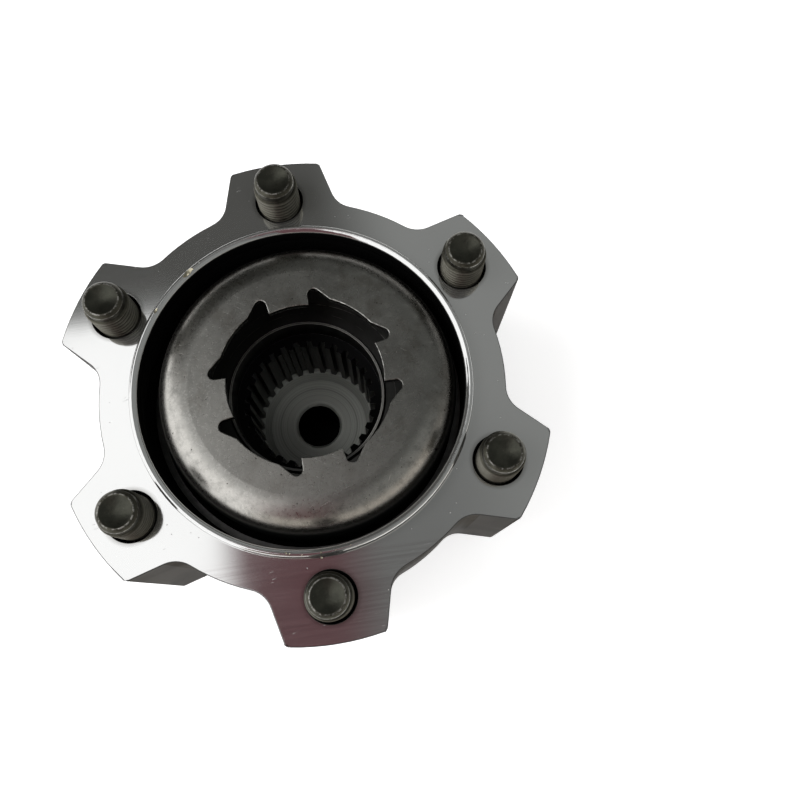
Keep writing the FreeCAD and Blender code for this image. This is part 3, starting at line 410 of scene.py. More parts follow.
def aluminium(look):
    """Machined face and lip, side walls duller and darkened with painted shade, bore and bolt holes painted
    black as shade with painted shadow round the holes, a painted dark line on the face's edge, and painted
    plum reflection and glints on the lower face's milling marks.
    """
    s = Surface("machined aluminium")
    face = s.z.rise(-0.35, -0.2)
    lip = s.z.rise(0.3, 0.6)
    # painted shade: the deep bore inside the mouth is painted black
    bore = (s.radius < MOUTH_R + 0.03) * (s.z < SPIGOT_TOP - 0.9)
    from_bolt = s.lobe_place()
    # painted shade: the bolt holes' walls are painted near black
    hole = (from_bolt < BOLT_HOLE_R + 0.1) * (s.z < -0.3)
    # painted shadow: a darker ring on the face round each bolt hole
    bolt_ring_shadow = (1 - from_bolt.rise(BOLT_HOLE_R, BOLT_HOLE_R + 1.3)) * face * 0.5
    # painted shade: a dark line on the bevel round the face's edge
    edge = (s.z > -0.4) * (s.z < -0.015)
    milling = s.noise(s.vector(s.x * 0.04, s.y * 1.7, 0), 1.0, 4.0, 0.6)
    streak_glints = s.noise(s.vector(s.x * 0.07, s.y * 3.2, 5), 1.0, 1.0).rise(0.66, 0.72)
    turning = s.noise(s.vector(s.radius * 3.0, 0, 0), 1.0, 3.0)
    drawing = s.noise(s.vector(s.x * 1.6, s.y * 1.6, s.z * 0.04), 1.0, 3.0)
    cloud = s.noise(s.place, 0.09, 3.0)
    dust = s.specks(s.place, 0.42, 0.06) * (cloud > 0.47)
    nick = s.scratches(12, 0.35, 3.5, 0.3) * s.noise(s.place, 0.16, 1.0).rise(0.62, 0.66)
    # real milling marks on the lower face, tinted with a painted plum reflection and crossed by white streaks
    # that are painted glints
    below = (1 - s.y.rise(-40, -34)) * face * (1 - lip)
    # side walls: duller cast finish, darkened further by painted shade
    colour = s.blend(face, look.side_colour_and_shade, look.face_colour)
    colour = s.blend((1 - face) * cloud.rise(0.42, 0.62) * 0.5, colour, GRIME)
    # painted plum reflection on the lower face's milling marks
    colour = s.blend(below * milling.rise(0.35, 0.65) * 0.22, colour, (0.30, 0.22, 0.23))
    # painted glints along the lower face's milling marks
    colour = s.blend(below * streak_glints * 0.25, colour, (1.0, 0.9, 0.92))
    # painted shadow round each bolt hole
    colour = s.blend(bolt_ring_shadow, colour, (0.20, 0.19, 0.17))
    # painted shade on the edge bevel
    colour = s.blend(edge * 0.9, colour, (0.02, 0.02, 0.018))
    colour = s.blend(dust * face * 0.8, colour, DUST)
    # painted shade: black on the bore wall
    colour = s.blend(bore, colour, BORE_SHADE_BLACK)
    # painted shade in the bolt holes
    colour = s.blend(hole, colour, (0.02, 0.02, 0.018))
    rough = s.choose(face, look.side_roughness, look.face_roughness + (cloud - 0.5) * 0.05)
    rough = s.choose(dust, rough, 0.7)
    rough = s.choose(bore, rough, 1.0)
    rough = s.choose(edge, rough, 0.6)
    rounding = s.maths("MINIMUM", s.maths("MAXIMUM", s.radius, MOUTH_R), MOUTH_R + LIP_ROUNDING) * -LIP_SLOPE
    height = milling * (face - lip) * 0.05 + turning * lip * 0.2 + drawing * (1 - face) + nick * face * 0.3
    return s.finish(colour, rough, 1 - face * 0.04, height + rounding, 0.00002, Specular_Tint=EDGE_TINT)


def cap_aluminium(look):
    """Dull cap in the side walls' colour, which holds painted shade, with grime clouds and its inside painted
    black as shade.
    """
    s = Surface("cap aluminium")
    cloud = s.noise(s.place, 0.12, 3.0)
    grain = s.noise(s.place, 2.2, 3.0)
    front = CAD_BOX[0].z / MM
    # painted shade: the cap's inside is painted black
    inside = (s.z > front + 1.5) * (s.radius < CAP_INSIDE_R)
    # the cap takes the side walls' colour, which holds painted shade; the grime clouds are real dirt
    colour = s.blend(cloud.rise(0.35, 0.7) * 0.5, look.side_colour_and_shade, GRIME)
    colour = s.blend(inside, colour, (0.006, 0.006, 0.006))
    return s.finish(colour, look.side_roughness + (grain - 0.5) * 0.1, 1.0, grain, 0.00002)


def pressed_steel(look):
    """Satin grey steel with pits and scratches, painted highlights towards the lower left, on the rounded
    corner and on the keyed opening's edges, and painted shade on the corner's upper side, the opening's walls
    and the skirt.
    """
    s = Surface("pressed steel")
    cloud = s.noise(s.place, 0.1, 4.0, 0.62)
    stain = s.noise(s.vector(s.x + 60, s.y, s.z), 0.22, 3.0, 0.6)
    grain = s.noise(s.place, 1.7, 4.0, 0.7)
    pits = s.specks(s.place, 0.62, 0.12) * (stain > 0.56)
    fine_pits = s.specks(s.place, 1.7, 0.17) * (stain > 0.54) * (grain > 0.47)
    sparks = s.specks(s.vector(s.x + 31, s.y, s.z), 0.5, 0.05) * (grain > 0.5)
    marks = 0
    for turn, shift in ((-32, 0), (22, 35), (68, 70)):
        where = s.noise(s.vector(s.x, s.y + shift, s.z), 0.14, 2.0).rise(0.56, 0.6)
        marks = s.scratches(turn, 0.22, 8.0, 0.3) * where + marks
    rub = s.scratches(28, 0.35, 16.0, 0.36) * s.noise(s.vector(s.x, s.y + 40, s.z), 0.12, 1.0).rise(0.56, 0.6)
    flat = s.up > 0.97
    # painted highlight: bright lines on the keyed opening's top edges
    edge = (s.z < CUP_TOP - 0.015) * (s.z > CUP_TOP - 0.3) * s.key_edge()
    # painted shade: the walls of the keyed opening are painted near black
    wall = (s.z < CUP_TOP - 0.3) * s.key_edge()
    from_axis = s.cup_radius()
    lower = (s.x * -0.55 - s.y * 0.83).rise(-14, 6)
    # painted highlight: a bright band on the rounded corner, lower left
    corner_highlight = from_axis.near(29.6, 1.2, 2.4) * lower
    # painted shade: the rounded corner is darker on its upper and right sides
    upper_corner_shade = from_axis.rise(28.5, 31.5) * (s.x * 0.5 + s.y * 0.86).rise(-4, 10)
    # painted shade: the cup's outer skirt, down in the gap, is painted near black
    skirt_shade = from_axis.rise(31.9, 32.9)
    smudge = s.noise(s.vector(s.x * 1.0, s.y + 90, s.z), 0.5, 4.0, 0.7)
    colour = s.blend(cloud.rise(0.3, 0.7), look.steel_colour, [part * 0.74 for part in look.steel_colour])
    colour = s.blend(smudge.rise(0.5, 0.75) * 0.4, colour, [part * 1.5 for part in look.steel_colour])
    colour = s.blend(stain.rise(0.5, 0.68) * 0.35, colour, (0.13, 0.112, 0.092))
    # painted highlight: the cup's top is lighter towards the lower left
    lower_left_sheen = (s.x * -0.4 - s.y * 0.9).rise(-8, 22) * 0.4
    colour = s.blend(lower_left_sheen, colour, [part * 1.6 for part in look.steel_colour])
    # painted highlight on the cup's corner
    colour = s.blend(corner_highlight * smudge.rise(0.2, 0.6) * 0.9, colour, (0.62, 0.60, 0.56))
    colour = s.blend(upper_corner_shade * 0.5, colour, (0.085, 0.072, 0.058))
    colour = s.blend(marks * 0.12, colour, (0.62, 0.61, 0.58))
    colour = s.blend(rub * flat * 0.12, colour, (0.6, 0.59, 0.56))
    colour = s.blend(fine_pits * 0.5, colour, (0.05, 0.046, 0.04))
    colour = s.blend(pits * 0.8, colour, (0.02, 0.019, 0.016))
    colour = s.blend(sparks, colour, (0.95, 0.94, 0.9))
    colour = s.blend(wall * 0.9, colour, (0.02, 0.02, 0.018))
    colour = s.blend(edge * smudge.rise(0.42, 0.6) * 0.8, colour, (0.75, 0.74, 0.7))
    colour = s.blend(skirt_shade * 0.97, colour, (0.006, 0.008, 0.008))
    rough = s.choose(skirt_shade, look.roughness + (grain - 0.5) * 0.3 - marks * 0.06, 0.9)
    height = grain * 0.5 + cloud * 1.5 - pits * 1.5 - fine_pits * 0.8 - marks * 0.4
    return s.finish(colour, rough, 1.0, height, look.pit_depth)


def oiled_steel(look):
    """Drive hub: near-black oiled steel with painted shade in its bore and hole, a painted highlight on the
    upper side of its double rim, worn bright rings, and a turned floor with painted shadow towards its lower
    left.
    """
    s = Surface("oiled hub steel")
    cloud = s.noise(s.place, 0.3, 3.0)
    grain = s.noise(s.place, 2.4, 3.0)
    rings = s.noise(s.vector(s.radius * 2.6, 0, s.z * 0.05), 1.0, 4.0, 0.7)
    fine = s.noise(s.vector(s.radius * 9.0, 0, 0), 1.0, 2.0)
    floor = (s.z < FLOOR_TOP) * (s.radius < 15.9) * (s.radius > 5.6) * (s.up > 0.5)
    groove = s.radius.near(10.4, 0.12, 0.1) + s.radius.near(12.84, 0.1, 0.1) * 0.7
    # painted shade: the hole at the foot of the bore is painted black
    hole = (s.radius < 5.64) * (s.z < -40)
    # painted shade: the splined bore's walls are painted dark and its up-facing tooth ends black
    bore = (s.radius < 17.38) * (s.z < -9) * (1 - floor)
    rim = s.z.rise(-7.75, -7.6)
    # painted highlight: the rim and its two edges are lighter on their upper side
    upper = (s.y + s.x * 0.3).rise(-14, -4)
    edges = rim * (s.radius.near(17.44, 0.06, 0.1) + s.radius.near(17.88, 0.06, 0.1)) * upper
    collar = s.radius.near(22.85, 0.06, 0.08) * s.z.rise(-9.0, -8.8) * cloud.rise(0.4, 0.6) * 0.5
    step = s.radius.near(20.6, 0.05, 0.07) * s.z.rise(-8.8, -8.6) * cloud.rise(0.42, 0.6) * 0.35
    chamfer = s.radius.near(6.0, 0.14, 0.1) * (s.z < -39) * cloud.rise(0.5, 0.6) * 0.35
    colour = s.blend(cloud, look.hub_colour, [part * 0.6 for part in look.hub_colour])
    # painted shade in the splined bore
    colour = s.blend(bore, colour, (0.03, 0.03, 0.028))
    colour = s.blend(bore * (s.up > 0.5), colour, DEEP_BLACK)
    light, dull, dark = ([part * share for part in look.floor_colour] for share in (1.4, 0.6, 0.4))
    turned = s.blend(rings.rise(0.3, 0.7), dull, look.floor_colour)
    turned = s.blend(fine.rise(0.55, 0.7) * 0.4, turned, light)
    turned = s.blend(groove * 0.6, turned, dark)
    # painted shadow: the turned floor is darker towards its lower left
    turned = s.blend((s.x + s.y).rise(-16, 6) * -0.5 + 0.5, turned, (0.03, 0.03, 0.028))
    colour = s.blend(floor, colour, turned)
    # painted shade in the hole
    colour = s.blend(hole, colour, DEEP_BLACK)
    # painted highlight on the rim's upper side; the collar, step and chamfer rings are worn bright
    colour = s.blend(edges + collar + step + chamfer + rim * upper * 0.35, colour, look.worn_and_highlight_colour)
    rough = s.choose(floor, 0.36 + grain * 0.12, 0.38 + rings * 0.12)
    rough = s.choose(hole, rough, 1.0)
    height = grain * 0.4 * (1 - floor) + rings * floor * 1.4
    return s.finish(colour, rough, 1 - floor * 0.55, height, 0.00002)


def phosphated(look, name):
    """Olive black phosphate on a bolt, with painted shade in its thread roots and dimple, and rubbed bright
    round its end, with painted glints there.
    """
    s = Surface(name)
    from_bolt = s.lobe_place()
    cloud = s.noise(s.place, 0.45, 3.0)
    grain = s.noise(s.place, 2.6, 4.0, 0.65)
    chips = s.noise(s.vector(s.x, s.y + 20, s.z), 1.3, 4.0, 0.7).rise(0.42, 0.62)
    # rubbed bright round the end, with painted glints there
    ring = from_bolt.near(3.62, 0.03, 0.22) * (s.z > BOLT_TIP - 0.35) * chips
    shoulder = from_bolt.near(NECK_R, 0.02, 0.12) * (s.z > BOLT_TIP - 0.9) * (1 - chips) * 0.35
    neck = s.z > BOLT_TIP - NECK_LENGTH - 0.4
    turned = s.noise(s.vector(s.z * 3.5, 0, 0), 1.0, 2.0).rise(0.45, 0.6) * neck * (from_bolt > NECK_R - 0.1)
    crest = (1 - neck) * from_bolt.rise(4.62, 4.9) * (s.z > THREAD_LOW)
    # painted shade: the thread roots are darkened
    root = (1 - neck) * (1 - from_bolt.rise(4.35, 4.62)) * (s.z > THREAD_LOW)
    # painted shade: the dimple in the bolt's end is darkened
    dimple_shade = (from_bolt < DIMPLE_R) * (s.z > BOLT_TIP - 1.2)
    colour = s.blend(cloud.rise(0.35, 0.65), look.bolt_colour, [part * 0.6 for part in look.bolt_colour])
    # painted shade in the thread roots
    colour = s.blend(root * 0.85, colour, (0.012, 0.012, 0.010))
    colour = s.blend(crest * 0.55, colour, (0.22, 0.21, 0.175))
    colour = s.blend(turned * 0.4, colour, (0.03, 0.03, 0.026))
    colour = s.blend(grain.rise(0.62, 0.72) * 0.35, colour, (0.26, 0.25, 0.21))
    # painted shade in the dimple
    colour = s.blend(dimple_shade * 0.4, colour, (0.05, 0.055, 0.045))
    # worn bright, with painted glints on the end ring
    colour = s.blend(ring * 0.6 + shoulder, colour, look.worn_and_highlight_colour)
    rough = 0.36 + (grain - 0.5) * 0.3
    return s.finish(colour, rough, 0.9, grain + cloud, 0.00004)


def plain_metal(name, colour, roughness, metallic=1.0, turned=True):
    """Oiled inner metal with a fine turned or ground grain."""
    s = Surface(name)
    cloud = s.noise(s.place, 0.25, 3.0)
    way = s.vector(s.radius * 3.0, 0, s.z * 0.5) if turned else s.place
    grain = s.noise(way, 1.0, 3.0)
    shade = s.blend(cloud.rise(0.3, 0.75), colour, [part * 0.65 for part in colour])
    return s.finish(shade, roughness + (grain - 0.5) * 0.15, metallic, grain, 0.00002)


def soft_material(name, colour, roughness):
    """Rubber or friction lining, with a fine grain."""
    s = Surface(name)
    grain = s.noise(s.place, 4.0, 3.0, 0.6)
    shade = s.blend(grain.rise(0.3, 0.7), colour, [part * 0.6 for part in colour])
    return s.finish(shade, roughness, 0.0, grain, 0.00003)


def smooth_by_angle(item, degrees=35.0):
    """Smooth shading with sharp edges past an angle."""
    mesh = item.data
    mesh.polygons.foreach_set("use_smooth", [True] * len(mesh.polygons))
    mesh.set_sharp_from_angle(angle=math.radians(degrees))


def worn_edges(name, width):
    """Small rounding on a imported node's sharp edges."""
    item = NODES[name]
    weld = item.modifiers.new("joined corners", "WELD")
    weld.merge_threshold = 0.000002
    bevel = item.modifiers.new("worn edges", "BEVEL")
    bevel.width, bevel.segments = width, 2
    bevel.limit_method, bevel.angle_limit = "ANGLE", math.radians(35)
    bevel.use_clamp_overlap, bevel.harden_normals = False, True


def new_piece(name, form, material, body, slot, *replaced):
    """Object from a bmesh in millimetres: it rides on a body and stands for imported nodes."""
    mesh = bpy.data.meshes.new(name)
    form.transform(Matrix.Scale(MM, 4))
    bmesh.ops.recalc_face_normals(form, faces=form.faces)
    form.to_mesh(mesh)
    form.free()
    mesh.materials.append(material)
    item = bpy.data.objects.new(name, mesh)
    bpy.context.scene.collection.objects.link(item)
    smooth_by_angle(item)
    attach(item, body)
    if replaced:
        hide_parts(*replaced)
    return item


def circle(form, radius, z, count, place=(0.0, 0.0)):
    """Ring of vertices, or the one vertex of a ring with no radius."""
    if radius == 0:
        return [form.verts.new((place[0], place[1], z))]
    corners = []
    for index in range(count):
        angle = 2 * math.pi * index / count
        spot = (place[0] + radius * math.cos(angle), place[1] + radius * math.sin(angle), z)
        corners.append(form.verts.new(spot))
    return corners


def bridge(form, lower, upper):
    """Faces between two rings of vertices, one of which may be a single vertex."""
    count = max(len(lower), len(upper))
    for index in range(count):
        following = (index + 1) % count
        corners = [lower[index % len(lower)], lower[following % len(lower)]]
        corners += [upper[following % len(upper)], upper[index % len(upper)]]
        corners = list(dict.fromkeys(corners))
        if len(corners) > 2:
            form.faces.new(corners)


def thread_radius(turn):
    """Radius of the rolled thread at a share of its pitch."""
    slope = abs(turn % 1.0 - 0.5) * 2
    rise = min(max((slope - 0.12) / 0.7, 0.0), 1.0)
    return THREAD_ROOT_R + (BOLT_R - THREAD_ROOT_R) * rise * rise * (3 - 2 * rise)


def thread_bands(form, place, low, high, pitch, start, columns=48, rows=10):
    """Screw thread whose rows of vertices follow the helix, flattened onto its low and high ends."""
    first = -rows * 2
    last = math.ceil((high - low) / pitch * rows) + rows * 2
    lattice = {}
    for column in range(columns):
        angle = 2 * math.pi * (column / columns + start)
        for row in range(first, last + 1):
            z = low + pitch * (row / rows + column / columns)
            radius = thread_radius(row / rows)
            radius = min(radius, NECK_R + max(high - z, 0.0) * 1.2, SHANK_R + max(z - low, 0.0) * 1.2)
            z = min(max(z, low), high)
            spot = (place[0] + radius * math.cos(angle), place[1] + radius * math.sin(angle), z)
            lattice[column, row] = form.verts.new(spot)
    for column in range(columns):
        for row in range(first, last):
            if column < columns - 1:
                right, right_up = lattice[column + 1, row], lattice[column + 1, row + 1]
            elif row + rows + 1 <= last:
                right, right_up = lattice[0, row + rows], lattice[0, row + rows + 1]
            else:
                continue
            form.faces.new((lattice[column, row], right, right_up, lattice[column, row + 1]))


def hex_head(form, place, shank):
    """Hexagon head with a turned crown, closed up to the shank's ring."""
    count = len(shank)
    low, high = BOLT_HEAD_BOTTOM, WASHER_BOTTOM
    flat, crown, side = [], [], []
    for index in range(count):
        angle = 2 * math.pi * index / count
        from_flat = (math.degrees(angle) % 60.0) - 30.0
        reach = HEAD_FLATS / 2 / math.cos(math.radians(from_flat))
        cos, sin = math.cos(angle), math.sin(angle)
        flat_r = HEAD_FLATS / 2 - 0.15
        flat.append(form.verts.new((place[0] + flat_r * cos, place[1] + flat_r * sin, low)))
        edge = low + 0.1 + (reach - HEAD_FLATS / 2) / 2
        crown.append(form.verts.new((place[0] + reach * cos, place[1] + reach * sin, edge)))
        side.append(form.verts.new((place[0] + reach * cos, place[1] + reach * sin, high)))
    middle = circle(form, 0, low, count, place)
    for lower, upper in ((middle, flat), (flat, crown), (crown, side), (side, shank)):
        bridge(form, lower, upper)


def flange_bolt_form(pitch, start):
    """Hexagon bolt: head, plain shank, rolled thread, plain neck and a dimpled end, on +X."""
    form = bmesh.new()
    place, count = (BOLT_CIRCLE_R, 0.0), 48
    shank_high = circle(form, SHANK_R, THREAD_LOW, count, place)
    shank_low = circle(form, SHANK_R, WASHER_BOTTOM, count, place)
    bridge(form, shank_low, shank_high)
    hex_head(form, place, shank_low)
    neck_z = BOLT_TIP - NECK_LENGTH
    thread_bands(form, place, THREAD_LOW, neck_z, pitch, start)
    profile = [
        (NECK_R, neck_z), (NECK_R, BOLT_TIP - 0.75), (NECK_R - 0.08, BOLT_TIP - 0.62),
        (END_R + 0.08, BOLT_TIP - 0.06), (END_R - 0.04, BOLT_TIP), (DIMPLE_R + 0.08, BOLT_TIP),
        (DIMPLE_R - 0.1, BOLT_TIP - 0.08), (DIMPLE_R * 0.72, BOLT_TIP - DIMPLE_DEPTH * 0.45),
        (DIMPLE_R * 0.4, BOLT_TIP - DIMPLE_DEPTH * 0.82), (0, BOLT_TIP - DIMPLE_DEPTH),
    ]
    rings = [circle(form, radius, z, count, place) for radius, z in profile]
    for lower, upper in zip(rings, rings[1:]):
        bridge(form, lower, upper)
    bmesh.ops.remove_doubles(form, verts=form.verts, dist=0.004)
    return form


def swarf_curl(length, width, curl, seed):
    """Thin curled chip of metal, in millimetres, round its own middle."""
    form, pick = bmesh.new(), random.Random(seed)
    steps, rows = 9, []
    for step in range(steps):
        share = step / (steps - 1)
        angle = curl * (share - 0.5)
        along = math.sin(angle) / max(curl, 0.1) * length
        lift = (1 - math.cos(angle)) / max(curl, 0.1) * length
        half = width * (0.35 + 0.65 * math.sin(math.pi * min(max(share, 0.08), 0.92))) / 2
        rough = [pick.uniform(-0.12, 0.12) * width for _ in range(3)]
        corners = []
        for side, up in ((-1, 0), (1, 0), (1, 1), (-1, 1)):
            spot = (along + rough[0], side * half + rough[1], lift + up * 0.16 + 0.02)
            corners.append(form.verts.new(spot))
        rows.append(corners)
    for first, second in zip(rows, rows[1:]):
        bridge(form, first, second)
    form.faces.new(rows[0])
    form.faces.new(rows[-1])
    return form


class HUB_OT_finish_body(bpy.types.Operator):
    """Machined aluminium with turned and ground marks on the body and cap"""

    bl_idname = "locking_hub.finish_body"
    bl_label = "Finish body and cap"

    def execute(self, context):
        look = context.scene.locking_hub.body
        dress(aluminium(look), "hub_body")
        dress(cap_aluminium(look), "cap")
        worn_edges("hub_body", 0.00022)
        return {"FINISHED"}


class HUB_OT_finish_cup(bpy.types.Operator):
    """Pressed steel with pits and scratches on the brake cup"""

    bl_idname = "locking_hub.finish_cup"
    bl_label = "Finish brake cup"

    def execute(self, context):
        dress(pressed_steel(context.scene.locking_hub.cup), "brake_cup")
        worn_edges("brake_cup", 0.0002)
        return {"FINISHED"}


class HUB_OT_finish_drive(bpy.types.Operator):
    """Oiled steel on the drive hub, with a painted highlight on its rim, and its turned floor"""

    bl_idname = "locking_hub.finish_drive"
    bl_label = "Finish drive hub"

    def execute(self, context):
        dress(oiled_steel(context.scene.locking_hub.dark_steel), "drive_hub")
        return {"FINISHED"}


class HUB_OT_finish_locking(bpy.types.Operator):
    """Hardened, spring and soft materials on the pieces that lock the hub"""

    bl_idname = "locking_hub.finish_locking"
    bl_label = "Finish locking pieces"

    def execute(self, context):
        look = context.scene.locking_hub.dark_steel
        hard = plain_metal("hardened steel", look.hub_colour, 0.38)
        dress(hard, "cam_ring", "slide_gear", "lock_ring", "bearing_plate", "spring_seat")
        spring = plain_metal("spring steel", (0.16, 0.16, 0.155), 0.34)
        dress(spring, "return_spring", "drag_ring", "cup_ring", "lock_snap_ring")
        dress(spring, "cam_snap_ring", "seat_snap_ring", "nose_snap_ring", *numbered("spring_washer"))
        dress(plain_metal("bronze", (0.50, 0.31, 0.14), 0.34), "front_bush", "thrust_washer")
        dress(soft_material("friction lining", (0.09, 0.07, 0.05), 0.85), "drag_lining")
        dress(soft_material("seal rubber", (0.02, 0.02, 0.02), 0.6), "cap_o_ring")
        return {"FINISHED"}


class HUB_OT_make_bolts(bpy.types.Operator):
    """Flange bolts with rolled threads, plain necks and dimpled ends, and the cap's screws"""

    bl_idname = "locking_hub.make_bolts"
    bl_label = "Make bolts"

    def execute(self, context):
        look = context.scene.locking_hub.dark_steel
        material = phosphated(look, "phosphated bolt")
        pick = random.Random(7)
        for index, name in enumerate(numbered("flange_bolt")):
            form = flange_bolt_form(look.thread_pitch / MM, pick.random())
            turn = Matrix.Rotation(math.radians(FIRST_LOBE + 60 * index), 4, "Z")
            form.transform(turn)
            new_piece("threaded_" + name, form, material, "housing", "black_bolt_steel", name)
        dress(plain_metal("black screw steel", look.bolt_colour, 0.42), *numbered("cap_screw"))
        return {"FINISHED"}


class HUB_OT_scatter_swarf(bpy.types.Operator):
    """Small bright chips of swarf that lie on the hub"""

    bl_idname = "locking_hub.scatter_swarf"
    bl_label = "Scatter swarf"

    def execute(self, context):
        material = plain_metal("swarf", (0.80, 0.74, 0.55), 0.3, 1.0, False)
        for index, (spot, size, curl, turn) in enumerate(SWARF):
            form = swarf_curl(size, size * 0.4, curl, index + 3)
            form.transform(Matrix.Translation(spot) @ Matrix.Rotation(math.radians(turn), 4, "Z"))
            new_piece(f"swarf_{index + 1}", form, material, "housing", "machined_aluminium")
        return {"FINISHED"}


def reflected_room(shader, look):
    """Window on the left, dark ceiling above, grey wall on the right and a plum brown patch overhead."""
    way = shader.add("ShaderNodeTexCoord", None, None, 0)
    x, y, z = (shader.add("ShaderNodeSeparateXYZ", None, {"Vector": way}, axis) for axis in range(3))
    height = shader.maths("MAXIMUM", z, 0.02)
    across, along = x / height, y / height
    low = 1 - z.rise(0.38, 0.48)
    edge = (y - (1 - z) ** 2.0 * 0.6) / height
    overhead = (1 - across.rise(-0.07, 0.01)) * (1 - along.rise(0.06, 0.24))
    dim = (1 - across.rise(0.06, 0.26)) * (1 - along.rise(0.12, 0.28))
    warm = (1 - y.rise(-0.4, 0.0)) * low
    back = edge.rise(0.40, 0.46) * (1 - across.rise(-0.03, 0.09) * (1 - low))
    window = (1 - across.rise(-0.215, -0.165)) * (1 - edge.rise(0.40, 0.42)) * (y * 0.72 - x).rise(0.0, 0.12)
    room = shader.background(look.wall_colour)
    room = shader.mix_shaders(dim, room, shader.background([part * 0.62 for part in look.wall_colour]))
    room = shader.mix_shaders(overhead, room, shader.background(look.overhead_colour))
    room = shader.mix_shaders(warm, room, shader.background(look.corner_colour))
    room = shader.mix_shaders(back, room, shader.background(look.ceiling_colour))
    return shader.mix_shaders(window, room, shader.background(look.window_colour))


class Room(Shader):
    """The world's shader."""

    def background(self, colour, strength=1.0):
        return self.add("ShaderNodeBackground", None, {"Color": as_colour(colour), "Strength": strength})

    def mix_shaders(self, mask, first, second):
        return self.add("ShaderNodeMixShader", None, {0: mask, 1: first, 2: second})


def floor_material():
    """Pale floor that looks white to the camera and in reflections, and keeps the hub's shadow."""
    s = Surface("pale floor")
    path = s.tree.nodes.new("ShaderNodeLightPath")
    camera_ray, glossy_ray = (Value(s, path.outputs[name]) for name in ("Is Camera Ray", "Is Glossy Ray"))
    seen = s.maths("MAXIMUM", camera_ray, glossy_ray)
    plain = s.add("ShaderNodeBsdfPrincipled", None, {
        "Base Color": (0.82, 0.82, 0.82, 1.0), "Roughness": 0.9, "Specular IOR Level": 0.1,
    })
    lifted = s.add("ShaderNodeBsdfPrincipled", None, {
        "Base Color": (0.82, 0.82, 0.82, 1.0), "Roughness": 0.9, "Specular IOR Level": 0.1,
        "Emission Color": (1.0, 1.0, 1.0, 1.0), "Emission Strength": 0.55,
    })
    mixed = s.add("ShaderNodeMixShader", None, {0: seen, 1: plain, 2: lifted})
    s.add("ShaderNodeOutputMaterial", None, {"Surface": mixed})
    return s.material


def soft_lamp(name, place, aim, power, size):
    """Square lamp that lights the floor's shadow and leaves reflections to the room."""
    lamp = bpy.data.lights.new(name, "AREA")
    lamp.energy, lamp.size = power, size
    item = bpy.data.objects.new(name, lamp)
    item.location = place
    item.rotation_euler = (Vector(place) - Vector(aim)).to_track_quat("Z", "Y").to_euler()
    item.visible_glossy = False
    bpy.context.scene.collection.objects.link(item)
    return item


class HUB_OT_set_stage(bpy.types.Operator):
    """White floor, the room that the metal reflects, soft lamps and the camera"""

    bl_idname = "locking_hub.set_stage"
    bl_label = "Set stage"

    def execute(self, context):
        look = context.scene.locking_hub.studio
        scene = context.scene
        scene.world = bpy.data.worlds.new("studio room")
        scene.world.use_nodes = True
        room = Room(scene.world.node_tree)
        path = room.tree.nodes.new("ShaderNodeLightPath")
        seen = Value(room, path.outputs["Is Camera Ray"])
        mixed = room.mix_shaders(seen, reflected_room(room, look), room.background((1, 1, 1)))
        room.add("ShaderNodeOutputWorld", None, {"Surface": mixed})
        form = bmesh.new()
        bmesh.ops.create_grid(form, x_segments=1, y_segments=1, size=3.0)
        mesh = bpy.data.meshes.new("floor")
        form.to_mesh(mesh)
        form.free()
        mesh.materials.append(floor_material())
        floor = bpy.data.objects.new("floor", mesh)
        floor.location.z = FLOOR_Z
        scene.collection.objects.link(floor)
        soft_lamp("left window", (-0.55, 0.05, 0.75), (0, 0, -0.03), look.lamp_power, 0.5)
        soft_lamp("overhead fill", (0.2, -0.35, 0.9), (0, 0, -0.03), look.lamp_power * 0.8, 0.8)
        camera = bpy.data.cameras.new("photograph")
        camera.lens, camera.sensor_width, camera.clip_start = CAMERA_LENS, 36.0, 0.005
        item = bpy.data.objects.new("photograph", camera)
        axes = Matrix((CAMERA_RIGHT, CAMERA_UP, CAMERA_BACK)).transposed().to_4x4()
        item.matrix_world = Matrix.Translation(CAMERA_PLACE) @ axes
        scene.collection.objects.link(item)
        scene.camera = item
        scene.view_settings.view_transform = "Standard"
        return {"FINISHED"}


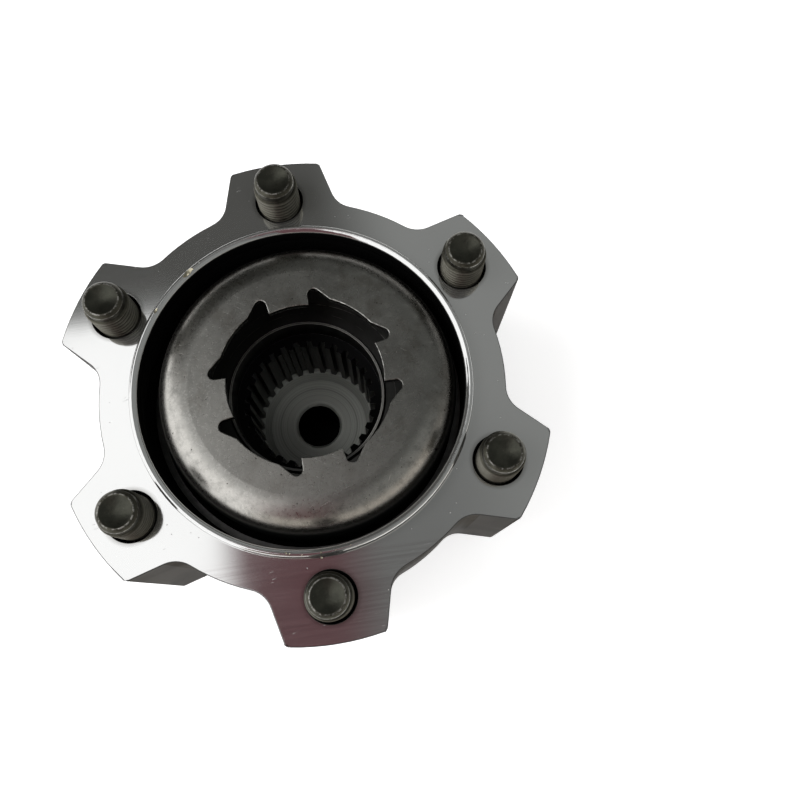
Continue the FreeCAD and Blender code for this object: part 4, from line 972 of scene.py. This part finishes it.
class VIEW3D_PT_locking_hub(bpy.types.Panel):
    """The hub's looks and the steps that make them"""

    bl_label = "Locking Hub"
    bl_idname = "VIEW3D_PT_locking_hub"
    bl_space_type = "VIEW_3D"
    bl_region_type = "UI"
    bl_category = "Locking Hub"

    def draw(self, context):
        hub = context.scene.locking_hub
        for title, group in (
            ("Body and cap", hub.body), ("Brake cup", hub.cup),
            ("Dark steel", hub.dark_steel), ("Studio", hub.studio),
        ):
            box = self.layout.box()
            box.label(text=title)
            for name in group.__annotations__:
                box.prop(group, name)
        for operator in ORDER:
            self.layout.operator(operator.bl_idname)


# Chips of swarf: place in millimetres, length, curl in radians and turn in degrees
SWARF = [
    ((-22.0, 29.3, 3.5), 2.6, 0.5, 38),
    ((-22.6, 28.6, 3.5), 1.4, 1.2, 20),
    ((-30.0, 21.2, 3.5), 1.2, 0.4, 55),
    ((-7.7, -36.0, 3.5), 0.8, 2.2, -50),
    ((-7.1, -36.3, 3.5), 0.5, 1.5, 30),
    ((-0.6, -37.0, 3.5), 0.7, 1.8, 80),
    ((-0.9, -37.9, 0.0), 0.5, 1.0, 10),
    ((-4.6, -36.9, 3.5), 0.35, 1.0, 20),
    ((2.5, -36.9, 3.5), 0.4, 1.0, 70),
    ((5.6, -36.4, 3.5), 0.3, 1.0, 0),
]

ORDER = (
    HUB_OT_finish_body,
    HUB_OT_finish_cup,
    HUB_OT_finish_drive,
    HUB_OT_finish_locking,
    HUB_OT_make_bolts,
    HUB_OT_scatter_swarf,
    HUB_OT_set_stage,
)
CLASSES = (BodyLook, CupLook, DarkSteelLook, StudioLook, HubLook, *ORDER, VIEW3D_PT_locking_hub)


def register():
    for kind in CLASSES:
        bpy.utils.register_class(kind)
    bpy.types.Scene.locking_hub = bpy.props.PointerProperty(type=HubLook)


def unregister():
    del bpy.types.Scene.locking_hub
    for kind in reversed(CLASSES):
        bpy.utils.unregister_class(kind)


def main():
    register()
    bpy.ops.locking_hub.finish_body()
    bpy.ops.locking_hub.finish_cup()
    bpy.ops.locking_hub.finish_drive()
    bpy.ops.locking_hub.finish_locking()
    bpy.ops.locking_hub.make_bolts()
    bpy.ops.locking_hub.scatter_swarf()
    bpy.ops.locking_hub.set_stage()


if __name__ == "__main__":
    main()
